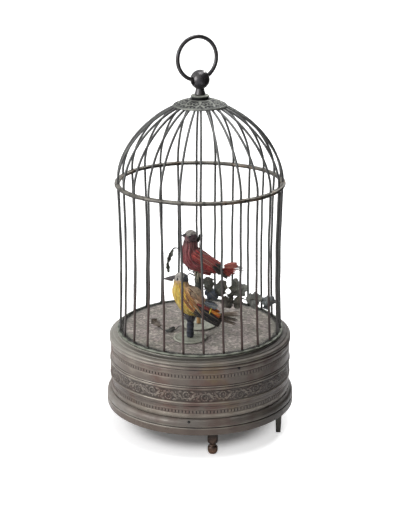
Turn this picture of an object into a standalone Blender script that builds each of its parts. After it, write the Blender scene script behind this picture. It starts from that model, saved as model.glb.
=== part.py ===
"""Singing bird automaton: two feathered birds on stems under a domed wire cage, on a drum
base that holds the clockwork, the bellows and the whistle.

Lengths are written in millimetres and become metres where a mesh or a curve is made.
The origin is on the ground under the middle of the drum, +Z is up and -Y is the front.
"""

import math

import bmesh
import bpy
from mathutils import Vector

MM = 0.001
GAP = 0.3                 # clearance left between two pieces that touch
BORE_GAP = 0.4            # radial clearance of a shaft or wire in its hole

# Feet and drum base
FOOT_HEIGHT = 18.0
FOOT_R = 3.8
FOOT_WAIST_R = 2.4
FOOT_INSET = 8.6          # from the edge of the rim in to the middle of a foot
FOOT_AZIMUTH = 8.5        # degrees from the front towards the right
DRUM_R = 68.8
RIM_PROUD = 3.2
RIM_HEIGHT = 11.6
RIM_GROOVE = 0.7
SHEET = 0.9               # thickness of the spun sheet
LOWER_WALL = 11.1
BEAD = 1.2
SCROLL_BAND = 10.6
UPPER_BEAD = 2.2
UPPER_WALL = 12.3
MOULDING = 1.7
SHOULDER = 6.5
SHOULDER_RUN = 4.4        # how far the shoulder rolls in from the moulding
BEAD_PROUD = 0.7
BASE_PLATE = 1.2

# Cage
CAGE_R = 61.4
WIRE_R = 0.7
BAR_COUNT = 26
BAR_FIRST = 2.5           # degrees from the front to the first bar
BAR_STRAIGHT = 116.6      # from the foot ring to the spring of the dome
BAR_BOW = 1.3             # how far the bars are pinched in half-way up
BEND_R = 12.3             # distance from the axis at which two bars join under the crown
DOME_RISE = 58.15
DOME_POWER = 1.17         # 1 gives an ellipse, more draws the dome in towards a cone
FRONT_LEAN = -2.1         # degrees by which the front bars stray sideways at the waist
SIDE_LEAN = 2.5
FOOT_RING_WIDTH = 2.8
FOOT_RING_HEIGHT = 1.5
WAIST_HEIGHT = 113.1      # from the foot ring to the middle of the waist ring
WAIST_WIDTH = 4.4
WAIST_THICKNESS = 3.1

# Crown and hanging ring
CROWN_R = 20.1
CROWN_SHEET = 0.9
COLLAR_R = 6.9
COLLAR_HEIGHT = 2.5
NECK_R = 3.7
NECK_HEIGHT = 4.5
BALL_R = 7.1
RING_R = 15.7
RING_WIRE_R = 1.45
RING_YAW = 27.0           # degrees that the ring is turned from the front
RING_LEAN = 8.5           # degrees that the bore and the ring lean

# Floor and posts
FLOOR_THICKNESS = 1.0
FRONT_DISH_R = 12.5
REAR_DISH_R = 13.9
DISH_HEIGHT = 1.2
LOWER_PERCH = (-7.4, -27.1)
UPPER_PERCH = (-1.0, 2.6)
POST_R = 2.7
POST_HEIGHT = 20.6
TRUNK_R = 3.1
TRUNK_ROOT_R = 1.7
TRUNK_ROOT_HEIGHT = 20.0
TRUNK_HEIGHT = 48.5
LEAF_LENGTH = 10.5
LEAF_WIDTH = 8.0
LEAF_SHEET = 0.8
TWIG_R = 0.55
BRANCH_HEIGHT = 29.0      # from the floor to where the branch leaves the trunk
TWIG_HEIGHT = 41.0

# Birds: lengths along each bird and its half-widths
BEAK_R = 2.4
BEAK_LENGTH = 8.6
SHORT_BEAK_R = 1.6
SHORT_BEAK_LENGTH = 3.9
BEAK_INSET = 0.7          # how far the beak's upper half is sunk in the face
BEAK_SLANT = 0.4          # set-back of the hinged half's root, per unit of height
TAIL_KNUCKLE_R = 1.6

# Clockwork
STAND_OFF = 2.2
PLATE = 1.4
PLATE_R = 58.0
PILLAR_HEIGHT = 26.3
PILLAR_R = 2.0
PILLAR_X = 44.0           # the four pillars stand at the corners of a rectangle
PILLAR_Y = (-28.0, 12.0)
PLATE_MARGIN = 4.0
TRAIN_Y = -8.0
BARREL_X = 24.0
BARREL_R = 17.5
BARREL_HEIGHT = 15.0
BARREL_WALL = 1.2
BARREL_TEETH = 48
BARREL_MODULE = 0.9
CAM_PINION_TEETH = 12
CAM_TEETH = 40
CAM_MODULE = 0.75
CRANK_PINION_TEETH = 8
CRANK_TEETH = 32
CRANK_MODULE = 0.6
FLY_PINION_TEETH = 8
FLY_REACH = 6.8
FLY_SHEET = 0.76
FLY_HEIGHT = 5.5
PINION_OVER = 0.4
CAM_SHEET = 2.2
SWASH_R = 6.0
SWASH_RISE = 1.0          # the swash face climbs this much above and falls this much below its middle
WHEEL_SHEET = 1.6
ARBOR_R = 1.0
KEY_ARBOR_R = 2.5
SPRING_COILS = 3
SPRING_STRIP = 0.9
RATCHET_TEETH = 12
RATCHET_R = 8.0
BELLOWS_X = (-28.0, 20.0)
BELLOWS_Y = (20.0, 50.0)
CHEST_HEIGHT = 6.0
BOARD = 2.0
WHISTLE_R = 4.0
WHISTLE_BORE_R = 2.9
WHISTLE_LENGTH = 34.0
WHISTLE_Y = -44.0
KEY_SPAN = 20.0
KEY_HEIGHT = 8.5
KEY_SHEET = 2.0
LEVER_PIVOT = (46.0, -21.0)
LEVER_TIP = (59.4, -30.0)
LEVER_WIDTH = 4.0
LEVER_SHEET = 1.2
LEVER_CLEAR = 2.0         # height of the lever's tip above the ground

ROUND = 40                # sides of the large turned pieces
SMALL_ROUND = 16
TINY_ROUND = 12

RIM_R = DRUM_R + RIM_PROUD
FOOT_CIRCLE_R = RIM_R - FOOT_INSET

# Heights, each stacked on the piece below
RIM_Z = FOOT_HEIGHT
RIM_TOP = RIM_Z + RIM_HEIGHT
DRUM_Z = RIM_TOP + GAP
BAND_Z = DRUM_Z + LOWER_WALL
SCROLL_Z = BAND_Z + BEAD
UPPER_Z = SCROLL_Z + SCROLL_BAND
MOULDING_Z = UPPER_Z + UPPER_BEAD + UPPER_WALL
DRUM_TOP = MOULDING_Z + MOULDING + SHOULDER
SEAT_R = DRUM_R + BEAD_PROUD - SHOULDER_RUN
FLOOR_Z = DRUM_TOP + GAP
FLOOR_TOP = FLOOR_Z + FLOOR_THICKNESS
FOOT_RING_TOP = FLOOR_Z + FOOT_RING_HEIGHT
BAR_Z = FOOT_RING_TOP + GAP
SPRING_Z = BAR_Z + BAR_STRAIGHT
WAIST_Z = FOOT_RING_TOP + WAIST_HEIGHT + GAP
CROWN_Z = SPRING_Z + DOME_RISE + WIRE_R + GAP
COLLAR_TOP = CROWN_Z + CROWN_SHEET + COLLAR_HEIGHT - 0.2
NECK_Z = COLLAR_TOP + GAP
BALL_Z = NECK_Z + NECK_HEIGHT + math.sqrt(BALL_R ** 2 - NECK_R ** 2 * 0.7)
DISH_Z = FLOOR_TOP + GAP
STEM_Z = DISH_Z + DISH_HEIGHT
POST_TOP = STEM_Z + POST_HEIGHT
TRUNK_TOP = STEM_Z + TRUNK_HEIGHT
BASE_PLATE_Z = RIM_Z + GAP
BASE_PLATE_TOP = BASE_PLATE_Z + BASE_PLATE
LOWER_PLATE_Z = BASE_PLATE_TOP + GAP + STAND_OFF
LOWER_PLATE_TOP = LOWER_PLATE_Z + PLATE
UPPER_PLATE_Z = LOWER_PLATE_TOP + PILLAR_HEIGHT + GAP
UPPER_PLATE_TOP = UPPER_PLATE_Z + PLATE
BARREL_Z = LOWER_PLATE_TOP + 2.6
CAM_WHEEL_Z = BARREL_Z + WHEEL_SHEET + BARREL_HEIGHT + 2.4
CRANK_WHEEL_Z = CAM_WHEEL_Z - 6.0
CAM_X = BARREL_X - (BARREL_TEETH + CAM_PINION_TEETH) * BARREL_MODULE / 2
CRANK_X = CAM_X - (CAM_TEETH + CRANK_PINION_TEETH) * CAM_MODULE / 2
FLY_X = CRANK_X - (CRANK_TEETH + FLY_PINION_TEETH) * CRANK_MODULE / 2
SWASH_TOP = CRANK_WHEEL_Z + WHEEL_SHEET + 2.6
BOARD_Z = SWASH_TOP + GAP
CHEST_Z = LOWER_PLATE_TOP + GAP
LEATHER_Z = CHEST_Z + CHEST_HEIGHT + GAP


# Materials

def finish(name, colour, roughness, metallic):
    """A plain finish: base colour, roughness and metallic value."""
    material = bpy.data.materials.new(name)
    material.use_nodes = True
    shader = material.node_tree.nodes["Principled BSDF"]
    shader.inputs["Base Color"].default_value = (*colour, 1.0)
    shader.inputs["Roughness"].default_value = roughness
    shader.inputs["Metallic"].default_value = metallic
    return material


FINISHES = {
    "bronzed_sheet": ((0.13, 0.10, 0.08), 0.42, 0.8),
    "cage_wire": ((0.06, 0.052, 0.045), 0.45, 0.8),
    "waist_brass": ((0.22, 0.18, 0.11), 0.45, 0.8),
    "crown_patina": ((0.20, 0.21, 0.18), 0.55, 0.6),
    "dark_bronze": ((0.035, 0.03, 0.028), 0.22, 0.9),
    "foot_brass": ((0.30, 0.19, 0.11), 0.35, 0.9),
    "black_steel": ((0.03, 0.03, 0.03), 0.4, 0.7),
    "felt_floor": ((0.27, 0.23, 0.22), 0.95, 0.0),
    "dish_tin": ((0.42, 0.42, 0.36), 0.6, 0.4),
    "leaf_cloth": ((0.13, 0.14, 0.11), 0.8, 0.0),
    "bark_wrap": ((0.05, 0.055, 0.045), 0.85, 0.0),
    "dark_plumes": ((0.015, 0.017, 0.025), 0.7, 0.0),
    "red_feathers": ((0.22, 0.03, 0.035), 0.7, 0.0),
    "plum_feathers": ((0.16, 0.09, 0.09), 0.75, 0.0),
    "tail_scarlet": ((0.32, 0.05, 0.04), 0.7, 0.0),
    "yellow_feathers": ((0.55, 0.31, 0.05), 0.7, 0.0),
    "grey_feathers": ((0.20, 0.18, 0.17), 0.75, 0.0),
    "horn_beak": ((0.06, 0.05, 0.05), 0.4, 0.0),
    "plate_brass": ((0.55, 0.40, 0.15), 0.3, 1.0),
    "wheel_brass": ((0.60, 0.45, 0.18), 0.28, 1.0),
    "spring_steel": ((0.12, 0.13, 0.16), 0.3, 1.0),
    "bellows_wood": ((0.35, 0.20, 0.10), 0.6, 0.0),
    "bellows_kid": ((0.60, 0.52, 0.40), 0.7, 0.0),
}


# Mesh helpers

def clear_scene():
    for item in list(bpy.data.objects):
        bpy.data.objects.remove(item, do_unlink=True)


def make_object(name, shape, slot=None, pivot=(0, 0, 0)):
    """Turns a bmesh in millimetres into an object whose origin is at its pivot."""
    bmesh.ops.remove_doubles(shape, verts=shape.verts, dist=0.001)
    bmesh.ops.recalc_face_normals(shape, faces=shape.faces)
    bmesh.ops.translate(shape, verts=shape.verts, vec=-Vector(pivot))
    bmesh.ops.scale(shape, verts=shape.verts, vec=(MM, MM, MM))
    mesh = bpy.data.meshes.new(name)
    shape.to_mesh(mesh)
    shape.free()
    mesh.shade_smooth()
    mesh.set_sharp_from_angle(angle=math.radians(40))
    item = bpy.data.objects.new(name, mesh)
    item.location = Vector(pivot) * MM
    bpy.context.collection.objects.link(item)
    if slot:
        mesh.materials.append(bpy.data.materials[slot])
    return item


def make_tool(name, shape):
    """A cutter or an inlay that only serves a Boolean."""
    tool = make_object(name, shape)
    tool.hide_render = True
    tool.display_type = "WIRE"
    return tool


def combine(item, tool, operation):
    modifier = item.modifiers.new(tool.name, "BOOLEAN")
    modifier.operation = operation
    modifier.solver = "EXACT"
    modifier.object = tool


def turned(outline, centre=(0, 0), sides=ROUND, phase=0.0, shape=None):
    """Spins a closed outline of (radius, height) points about an upright axis."""
    shape = shape or bmesh.new()
    turn = (math.cos(phase), math.sin(phase))
    points = [shape.verts.new((r * turn[0], r * turn[1], z)) for r, z in outline]
    edges = []
    for first, second in zip(points, points[1:] + points[:1]):
        if first.co.xy.length > 1e-6 or second.co.xy.length > 1e-6:
            edges.append(shape.edges.new((first, second)))
    before = set(shape.verts) - set(points)
    bmesh.ops.spin(
        shape, geom=points + edges, cent=(0, 0, 0), axis=(0, 0, 1),
        angle=math.tau, steps=sides, use_merge=True,
    )
    made = [vertex for vertex in shape.verts if vertex not in before]
    bmesh.ops.translate(shape, verts=made, vec=(centre[0], centre[1], 0))
    return shape


def rod(radius, low, high, centre=(0, 0), sides=TINY_ROUND, shape=None):
    outline = [(0, low), (radius, low), (radius, high), (0, high)]
    return turned(outline, centre, sides, shape=shape)


def slab(outline, low, high, shape=None):
    """Raises a flat outline of (x, y) points from one height to another."""
    shape = shape or bmesh.new()
    bottom = [shape.verts.new((x, y, low)) for x, y in outline]
    top = [shape.verts.new((x, y, high)) for x, y in outline]
    shape.faces.new(bottom)
    shape.faces.new(top[::-1])
    count = len(outline)
    for here in range(count):
        there = (here + 1) % count
        shape.faces.new((bottom[here], bottom[there], top[there], top[here]))
    return shape


def loft(rings, shape=None):
    """Skins closed rings of equal point counts, one after another, and caps the ends."""
    shape = shape or bmesh.new()
    rows = [[shape.verts.new(point) for point in ring] for ring in rings]
    count = len(rows[0])
    for row, following in zip(rows, rows[1:]):
        for here in range(count):
            there = (here + 1) % count
            shape.faces.new((row[here], row[there], following[there], following[here]))
    shape.faces.new(rows[0][::-1])
    shape.faces.new(rows[-1])
    return shape


def rod_along(points, radii, sides=8, shape=None):
    """A rod of changing radius along a path, square to it at every point."""
    points = [Vector(point) for point in points]
    rings = []
    side = None
    for index, point in enumerate(points):
        ahead = points[min(index + 1, len(points) - 1)]
        behind = points[max(index - 1, 0)]
        along = (ahead - behind).normalized()
        if side is None:
            side = along.orthogonal().normalized()
        side = (side - along * side.dot(along)).normalized()
        other = along.cross(side)
        ring = []
        for step in range(sides):
            angle = math.tau * step / sides
            ring.append(point + (side * math.cos(angle) + other * math.sin(angle)) * radii[index])
        rings.append(ring)
    return loft(rings, shape)


def wire(name, points, radius, slot, closed=False, bevel=1, pivot=(0, 0, 0)):
    """A bent wire: a poly curve through the points with a round bevel."""
    curve = bpy.data.curves.new(name, "CURVE")
    curve.dimensions = "3D"
    curve.bevel_depth = radius * MM
    curve.bevel_resolution = bevel
    curve.use_fill_caps = True
    spline = curve.splines.new("POLY")
    spline.points.add(len(points) - 1)
    for target, point in zip(spline.points, points):
        target.co = (*((Vector(point) - Vector(pivot)) * MM), 1.0)
    spline.use_cyclic_u = closed
    curve.materials.append(bpy.data.materials[slot])
    item = bpy.data.objects.new(name, curve)
    item.location = Vector(pivot) * MM
    bpy.context.collection.objects.link(item)
    return item


def bore(item, radius, low, high, centres, sides=TINY_ROUND):
    """Drills upright holes; the flats of the drill stay outside the radius asked for."""
    shape = bmesh.new()
    reach = radius / math.cos(math.pi / sides)
    for centre in centres:
        rod(reach, low, high, centre, sides, shape)
    combine(item, make_tool(item.name + "_drill", shape), "DIFFERENCE")


def arc(radius, start, end, steps, centre=(0.0, 0.0)):
    """Points of a round stretch, angles in degrees."""
    points = []
    for step in range(steps + 1):
        angle = math.radians(start + (end - start) * step / steps)
        points.append((centre[0] + radius * math.cos(angle), centre[1] + radius * math.sin(angle)))
    return points


def gear_outline(teeth, module, centre, phase=0.0):
    """Straight-flanked teeth, cut thin so that wheel and pinion run with backlash."""
    pitch_r = teeth * module / 2
    pitch = math.pi * module
    levels = ((pitch_r - 1.05 * module, 0.42), (pitch_r + 0.8 * module, 0.16))
    points = []
    for tooth in range(teeth):
        middle = phase + math.tau * tooth / teeth
        flank = [(r, -share / 2) for r, share in levels]
        flank += [(r, share / 2) for r, share in levels[::-1]]
        for r, share in flank:
            angle = middle + share * pitch / pitch_r
            points.append((centre[0] + r * math.cos(angle), centre[1] + r * math.sin(angle)))
    return points


def front_point(azimuth, radius, z):
    """A point at an azimuth in degrees, counted from the front towards the right."""
    angle = math.radians(azimuth)
    return Vector((radius * math.sin(angle), -radius * math.cos(angle), z))


# Base

def make_feet():
    disc = FOOT_HEIGHT * 0.30
    outline = [
        (0, 0), (FOOT_R - 0.4, 0), (FOOT_R, 0.5), (FOOT_R, disc - 0.4), (FOOT_WAIST_R, disc + 0.3),
        (FOOT_WAIST_R, disc + 2.6), (FOOT_R, disc + 3.3), (FOOT_R, FOOT_HEIGHT), (0, FOOT_HEIGHT),
    ]
    for index, name in enumerate(("foot_front", "foot_right", "foot_left")):
        spot = front_point(FOOT_AZIMUTH + 120 * index, FOOT_CIRCLE_R, 0)
        make_object(name, turned(outline, spot.xy, SMALL_ROUND), "foot_brass")


def make_rim():
    top = RIM_TOP
    inner = RIM_R - SHEET
    lip = DRUM_R - SHEET - 0.7
    groove_z = RIM_Z + RIM_HEIGHT * 0.49
    outline = [
        (inner, RIM_Z), (RIM_R, RIM_Z), (RIM_R, groove_z - 0.5), (RIM_R - RIM_GROOVE, groove_z),
        (RIM_R, groove_z + 0.6), (RIM_R - 0.1, top - 2.6), (RIM_R - 0.8, top - 1.1),
        (RIM_R - 1.8, top - 0.3), (DRUM_R + 0.4, top), (lip, top), (lip, top - SHEET),
        (inner - 1.2, top - SHEET - 0.4), (inner, top - 3.0),
    ]
    make_object("base_rim", turned(outline), "bronzed_sheet")


def make_drum():
    proud = DRUM_R + BEAD_PROUD
    lip = CAGE_R - 4.4
    inner = DRUM_R - SHEET - 0.6
    shoulder_z = MOULDING_Z + MOULDING
    outline = [
        (DRUM_R, DRUM_Z), (DRUM_R, BAND_Z - 0.5), (proud, BAND_Z), (proud, SCROLL_Z),
        (DRUM_R + 0.3, SCROLL_Z + 0.6), (DRUM_R + 0.3, UPPER_Z - 0.8), (proud, UPPER_Z),
        (proud, UPPER_Z + UPPER_BEAD), (DRUM_R - 0.1, UPPER_Z + UPPER_BEAD + 0.5),
        (DRUM_R - 0.1, MOULDING_Z - 0.6), (proud + 0.2, MOULDING_Z + 0.4), (proud + 0.3, shoulder_z),
        (proud - 0.1, shoulder_z + SHOULDER * 0.46), (proud - 1.3, shoulder_z + SHOULDER * 0.70),
        (proud - 2.9, shoulder_z + SHOULDER * 0.86), (SEAT_R, DRUM_TOP), (lip, DRUM_TOP),
        (lip, DRUM_TOP - SHEET), (SEAT_R - 0.6, DRUM_TOP - SHEET), (inner - 1.0, DRUM_TOP - 2.4),
        (inner, DRUM_TOP - 4.6), (inner, DRUM_Z + 3.0), (DRUM_R - SHEET, DRUM_Z + 2.0),
        (DRUM_R - SHEET, DRUM_Z),
    ]
    make_object("base_casing", turned(outline), "bronzed_sheet")


def make_base_plate():
    plate = make_object(
        "base_plate",
        rod(RIM_R - SHEET - BORE_GAP, BASE_PLATE_Z, BASE_PLATE_TOP, sides=ROUND),
        "bronzed_sheet",
    )
    bore(plate, KEY_ARBOR_R + BORE_GAP, BASE_PLATE_Z - 1, BASE_PLATE_TOP + 1, [(BARREL_X, TRAIN_Y)])
    shape = rod((ARBOR_R + BORE_GAP) * 1.05, BASE_PLATE_Z - 1, BASE_PLATE_TOP + 1, LEVER_PIVOT)
    combine(plate, make_tool("lever_screw_drill", shape), "DIFFERENCE")


def make_lever():
    """The start and stop lever: an arm under the base plate with a finger turned down."""
    pivot = Vector(LEVER_PIVOT)
    tip = Vector(LEVER_TIP)
    along = (tip - pivot).normalized()
    across = Vector((-along.y, along.x))
    top = BASE_PLATE_Z - GAP
    low = top - LEVER_SHEET
    half = LEVER_WIDTH / 2
    arm = [
        pivot - along * half - across * half * 0.9, tip + along * half * 0.6 - across * half,
        tip + along * half * 0.6 + across * half, pivot - along * half + across * half * 0.9,
    ]
    lever = make_object("start_stop_lever", slab(arm, low, top), "black_steel", (*pivot, low))
    bend = tip + along * half * 0.6
    rings = []
    for z, wide in ((top - 0.2, half), (RIM_Z * 0.45, half * 0.88), (LEVER_CLEAR, half * 0.72)):
        corners = ((-wide, -LEVER_SHEET), (wide, -LEVER_SHEET), (wide, 0), (-wide, 0))
        rings.append([(bend.x + x, bend.y + y, z) for x, y in corners])
    combine(lever, make_tool("lever_finger", loft(rings)), "UNION")
    bore(lever, ARBOR_R + BORE_GAP, low - 1, top + 1, [LEVER_PIVOT])
    screw = turned(
        [(0, low - GAP - 1.4), (ARBOR_R + 1.2, low - GAP - 1.4), (ARBOR_R + 1.6, low - GAP - 1.0),
         (ARBOR_R + 1.6, low - GAP), (ARBOR_R, low - GAP), (ARBOR_R, BASE_PLATE_TOP - 0.2),
         (0, BASE_PLATE_TOP - 0.2)],
        LEVER_PIVOT, TINY_ROUND,
    )
    make_object("lever_pivot_screw", screw, "black_steel")


def make_winding_key():
    """A butterfly key whose socket fits the square end of the winding arbor."""
    centre = (BARREL_X, TRAIN_Y)
    top = BASE_PLATE_Z - 1.2
    low = top - KEY_HEIGHT - 3.0
    socket = KEY_ARBOR_R + 1.9
    key = make_object(
        "winding_key",
        turned([(0, low + 3), (socket, low + 3), (socket, top), (0, top)], centre, SMALL_ROUND),
        "foot_brass", (*centre, low),
    )
    wing = []
    half = KEY_SPAN / 2
    for angle in range(0, 360, 30):
        reach = abs(math.cos(math.radians(angle)))
        wing.append((
            half * math.cos(math.radians(angle)),
            (low + KEY_HEIGHT * 0.45) + KEY_HEIGHT * (0.28 + 0.17 * reach) * math.sin(math.radians(angle)),
        ))
    shape = bmesh.new()
    front = [shape.verts.new((centre[0] + x, centre[1] - KEY_SHEET / 2, z)) for x, z in wing]
    back = [shape.verts.new((centre[0] + x, centre[1] + KEY_SHEET / 2, z)) for x, z in wing]
    shape.faces.new(front)
    shape.faces.new(back[::-1])
    for here in range(len(wing)):
        there = (here + 1) % len(wing)
        shape.faces.new((front[here], front[there], back[there], back[here]))
    combine(key, make_tool("key_wings", shape), "UNION")
    bore(key, KEY_ARBOR_R + GAP, low + 5.5, top + 1, [centre])


def make_floor():
    make_object(
        "floor_disc",
        rod(CAGE_R - FOOT_RING_WIDTH / 2 + 0.8 - BORE_GAP, FLOOR_Z, FLOOR_TOP, sides=ROUND),
        "felt_floor",
    )
    dishes = (("front_dish", FRONT_DISH_R, LOWER_PERCH), ("rear_dish", REAR_DISH_R, UPPER_PERCH))
    for name, radius, spot in dishes:
        outline = [
            (0, DISH_Z), (radius - 0.5, DISH_Z), (radius, DISH_Z + 0.5), (radius - 0.6, DISH_Z + 1.2),
            (radius - 2.2, DISH_Z + 0.6), (POST_R + 3.2, DISH_Z + 0.6),
            (POST_R + 2.2, DISH_Z + DISH_HEIGHT - GAP), (0, DISH_Z + DISH_HEIGHT - GAP),
        ]
        make_object(name, turned(outline, spot, 24), "dish_tin")


# Cage

def dome(radius):
    """Height of a bar's middle line over the dome at a distance from the axis."""
    share = (radius / CAGE_R) ** (2 / DOME_POWER)
    return SPRING_Z + DOME_RISE * (1 - min(share, 1.0)) ** (DOME_POWER / 2)


def bar_lean(index):
    """The bars were bent by hand: those in front stray left, three at the left stray right."""
    if index in (21, 22, 23):
        return SIDE_LEAN
    if index >= 24 or index <= 5:
        return FRONT_LEAN
    return 0.0


def bar_point(index, radius, z):
    climb = min(1.0, max(0.0, (z - BAR_Z) / (WAIST_Z - BAR_Z)))
    lean = bar_lean(index) * climb * radius / CAGE_R
    azimuth = BAR_FIRST + 360.0 / BAR_COUNT * index + lean
    pinch = BAR_BOW * math.sin(math.pi * climb)
    return front_point(azimuth, radius - pinch, z)


def bar_points(index):
    """One bar from the foot ring, up past the waist ring and over the dome."""
    points = [bar_point(index, CAGE_R, BAR_Z + (WAIST_Z - BAR_Z) * share) for share in (0, 0.5)]
    points.append(bar_point(index, CAGE_R, WAIST_Z))
    points.append(bar_point(index, CAGE_R, SPRING_Z))
    for angle in (19, 36, 52, 67):
        radius = CAGE_R * math.cos(math.radians(angle)) ** DOME_POWER
        points.append(bar_point(index, radius, dome(radius)))
    points.append(bar_point(index, BEND_R, dome(BEND_R)))
    return points


def make_cage_wires():
    """Each wire is bent like a hairpin: two bars joined by a bend under the crown."""
    for pair in range(BAR_COUNT // 2):
        rise = bar_points(2 * pair)
        fall = bar_points(2 * pair + 1)
        start, end = rise[-1], fall[-1]
        middle = (start + end) / 2
        half = (end - start) / 2
        inward = Vector((-middle.x, -middle.y, 0)).normalized() * half.length
        bend = []
        for angle in (45, 90, 135):
            turn = math.radians(angle)
            bend.append(middle - half * math.cos(turn) + inward * math.sin(turn))
        wire(f"cage_wire_{pair + 1:02d}", rise + bend + fall[::-1], WIRE_R, "cage_wire")


def make_rings():
    middle = CAGE_R + 0.8
    half = FOOT_RING_WIDTH / 2
    outline = [
        (middle - half, FLOOR_Z), (middle + half, FLOOR_Z),
        (middle + half, FLOOR_Z + FOOT_RING_HEIGHT * 0.6), (middle + half - 0.6, FOOT_RING_TOP),
        (middle - half, FOOT_RING_TOP),
    ]
    make_object("cage_foot_ring", turned(outline), "crown_patina")
    half = WAIST_WIDTH / 2
    tall = WAIST_THICKNESS / 2
    outline = []
    for r, z in arc(1.0, 30.0, 330.0, 5):
        outline.append((CAGE_R + 0.3 + r * half * 1.1, WAIST_Z + z * tall * 1.1))
    band = make_object("cage_waist_ring", turned(outline), "waist_brass")
    holes = [bar_point(index, CAGE_R, WAIST_Z).xy for index in range(BAR_COUNT)]
    bore(band, WIRE_R + GAP, WAIST_Z - 3, WAIST_Z + 3, holes, sides=5)


def make_crown():
    """An embossed cap over the wire ends with a collar that carries the ball."""
    def under(radius):
        return dome(radius) + WIRE_R + GAP
    outline = [
        (0, CROWN_Z - 0.6), (BEND_R - 3, CROWN_Z - 0.6), (BEND_R, under(BEND_R)),
        (CROWN_R - 4, under(CROWN_R - 4)), (CROWN_R, under(CROWN_R)),
        (CROWN_R, under(CROWN_R) + CROWN_SHEET),
        (CROWN_R - 2.8, under(CROWN_R - 2.8) + CROWN_SHEET + 0.2),
        (CROWN_R - 6, under(CROWN_R - 6) + CROWN_SHEET + 0.4),
        (COLLAR_R, CROWN_Z + CROWN_SHEET - 0.3), (COLLAR_R, COLLAR_TOP), (0, COLLAR_TOP),
    ]
    make_object("crown_cap", turned(outline, sides=32), "crown_patina")


def bore_axis():
    yaw = math.radians(RING_YAW)
    lean = math.radians(RING_LEAN)
    along = Vector((math.cos(yaw) * math.cos(lean), math.sin(yaw) * math.cos(lean), math.sin(lean)))
    up = Vector((-math.cos(yaw) * math.sin(lean), -math.sin(yaw) * math.sin(lean), math.cos(lean)))
    return along, up


def make_finial_and_ring():
    ball = Vector((0, 0, BALL_Z))
    along, up = bore_axis()
    neck_join = math.degrees(math.asin(NECK_R * 0.84 / BALL_R))
    outline = [(0, NECK_Z), (NECK_R, NECK_Z), (NECK_R * 0.92, NECK_Z + 1.6)]
    outline += [(x, BALL_Z + z) for x, z in arc(BALL_R, neck_join - 90, 90, 11)]
    outline[-1] = (0, BALL_Z + BALL_R)
    finial = make_object("finial_ball", turned(outline, sides=24), "dark_bronze")
    sag = RING_R - math.sqrt(RING_R ** 2 - BALL_R ** 2 * 0.8)
    hole = (sag + RING_WIRE_R + BORE_GAP) / math.cos(math.pi / SMALL_ROUND)
    reach = along * (BALL_R + 2)
    shape = rod_along([ball - reach, ball + reach], [hole, hole], SMALL_ROUND)
    combine(finial, make_tool("finial_drill", shape), "DIFFERENCE")
    points = []
    steps = 36
    for step in range(steps):
        angle = math.tau * step / steps
        points.append(ball + up * RING_R * (1 - math.cos(angle)) + along * RING_R * math.sin(angle))
    wire("hanging_ring", points, RING_WIRE_R, "dark_bronze", closed=True, bevel=2, pivot=ball)


# Perches and leaves

def make_posts():
    x, y = LOWER_PERCH
    levels = ((0.0, 1.15), (0.12, 1.0), (0.45, 0.96), (0.8, 1.08), (1.0, 1.0))
    points = [(x + 0.5 * share, y, STEM_Z + POST_HEIGHT * share) for share, _ in levels]
    radii = [POST_R * swell for _, swell in levels]
    make_object("lower_bird_post", rod_along(points, radii, 10), "dark_plumes")
    x, y = UPPER_PERCH
    root = STEM_Z + TRUNK_ROOT_HEIGHT
    points = [(x, y, STEM_Z), (x, y, root - 2), (x, y, root), (x, y, TRUNK_TOP)]
    radii = [TRUNK_ROOT_R, TRUNK_ROOT_R, TRUNK_R, TRUNK_R]
    make_object("tree_trunk", rod_along(points, radii, 12), "bark_wrap")


def leaf(tool, stem, direction, normal, length, width):
    """One serrated leaf: a flat pointed oval with shallow teeth along both edges."""
    stem, along, normal = Vector(stem), Vector(direction).normalized(), Vector(normal)
    across = along.cross(normal).normalized()
    facing = across.cross(along).normalized()
    outline = []
    steps = 5
    for step in range(steps + 1):
        share = step / steps
        tooth = 1.0 if step % 2 else 0.82
        outline.append((share, 0.5 * math.sin(math.pi * (0.12 + 0.84 * share)) ** 0.8 * tooth))
    ring = outline + [(share, -half) for share, half in outline[::-1]]
    low, high = [], []
    for share, half in ring:
        spot = stem + along * length * share + across * width * half
        low.append(tool.verts.new(spot - facing * LEAF_SHEET / 2))
        high.append(tool.verts.new(spot + facing * LEAF_SHEET / 2))
    tool.faces.new(low)
    tool.faces.new(high[::-1])
    for here in range(len(ring)):
        there = (here + 1) % len(ring)
        tool.faces.new((low[here], low[there], high[there], high[here]))


def make_spray(name, path, leaves):
    """A bent twig with leaves joined to it; each leaf has a stem point, two directions and two sizes."""
    twig = make_object(name, rod_along(path, [TWIG_R] * len(path), 6), "leaf_cloth")
    for number, (stem, direction, normal, length, width) in enumerate(leaves):
        shape = bmesh.new()
        leaf(shape, stem, direction, normal, length, width)
        combine(twig, make_tool(f"{name}_leaf_{number}", shape), "UNION")


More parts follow.
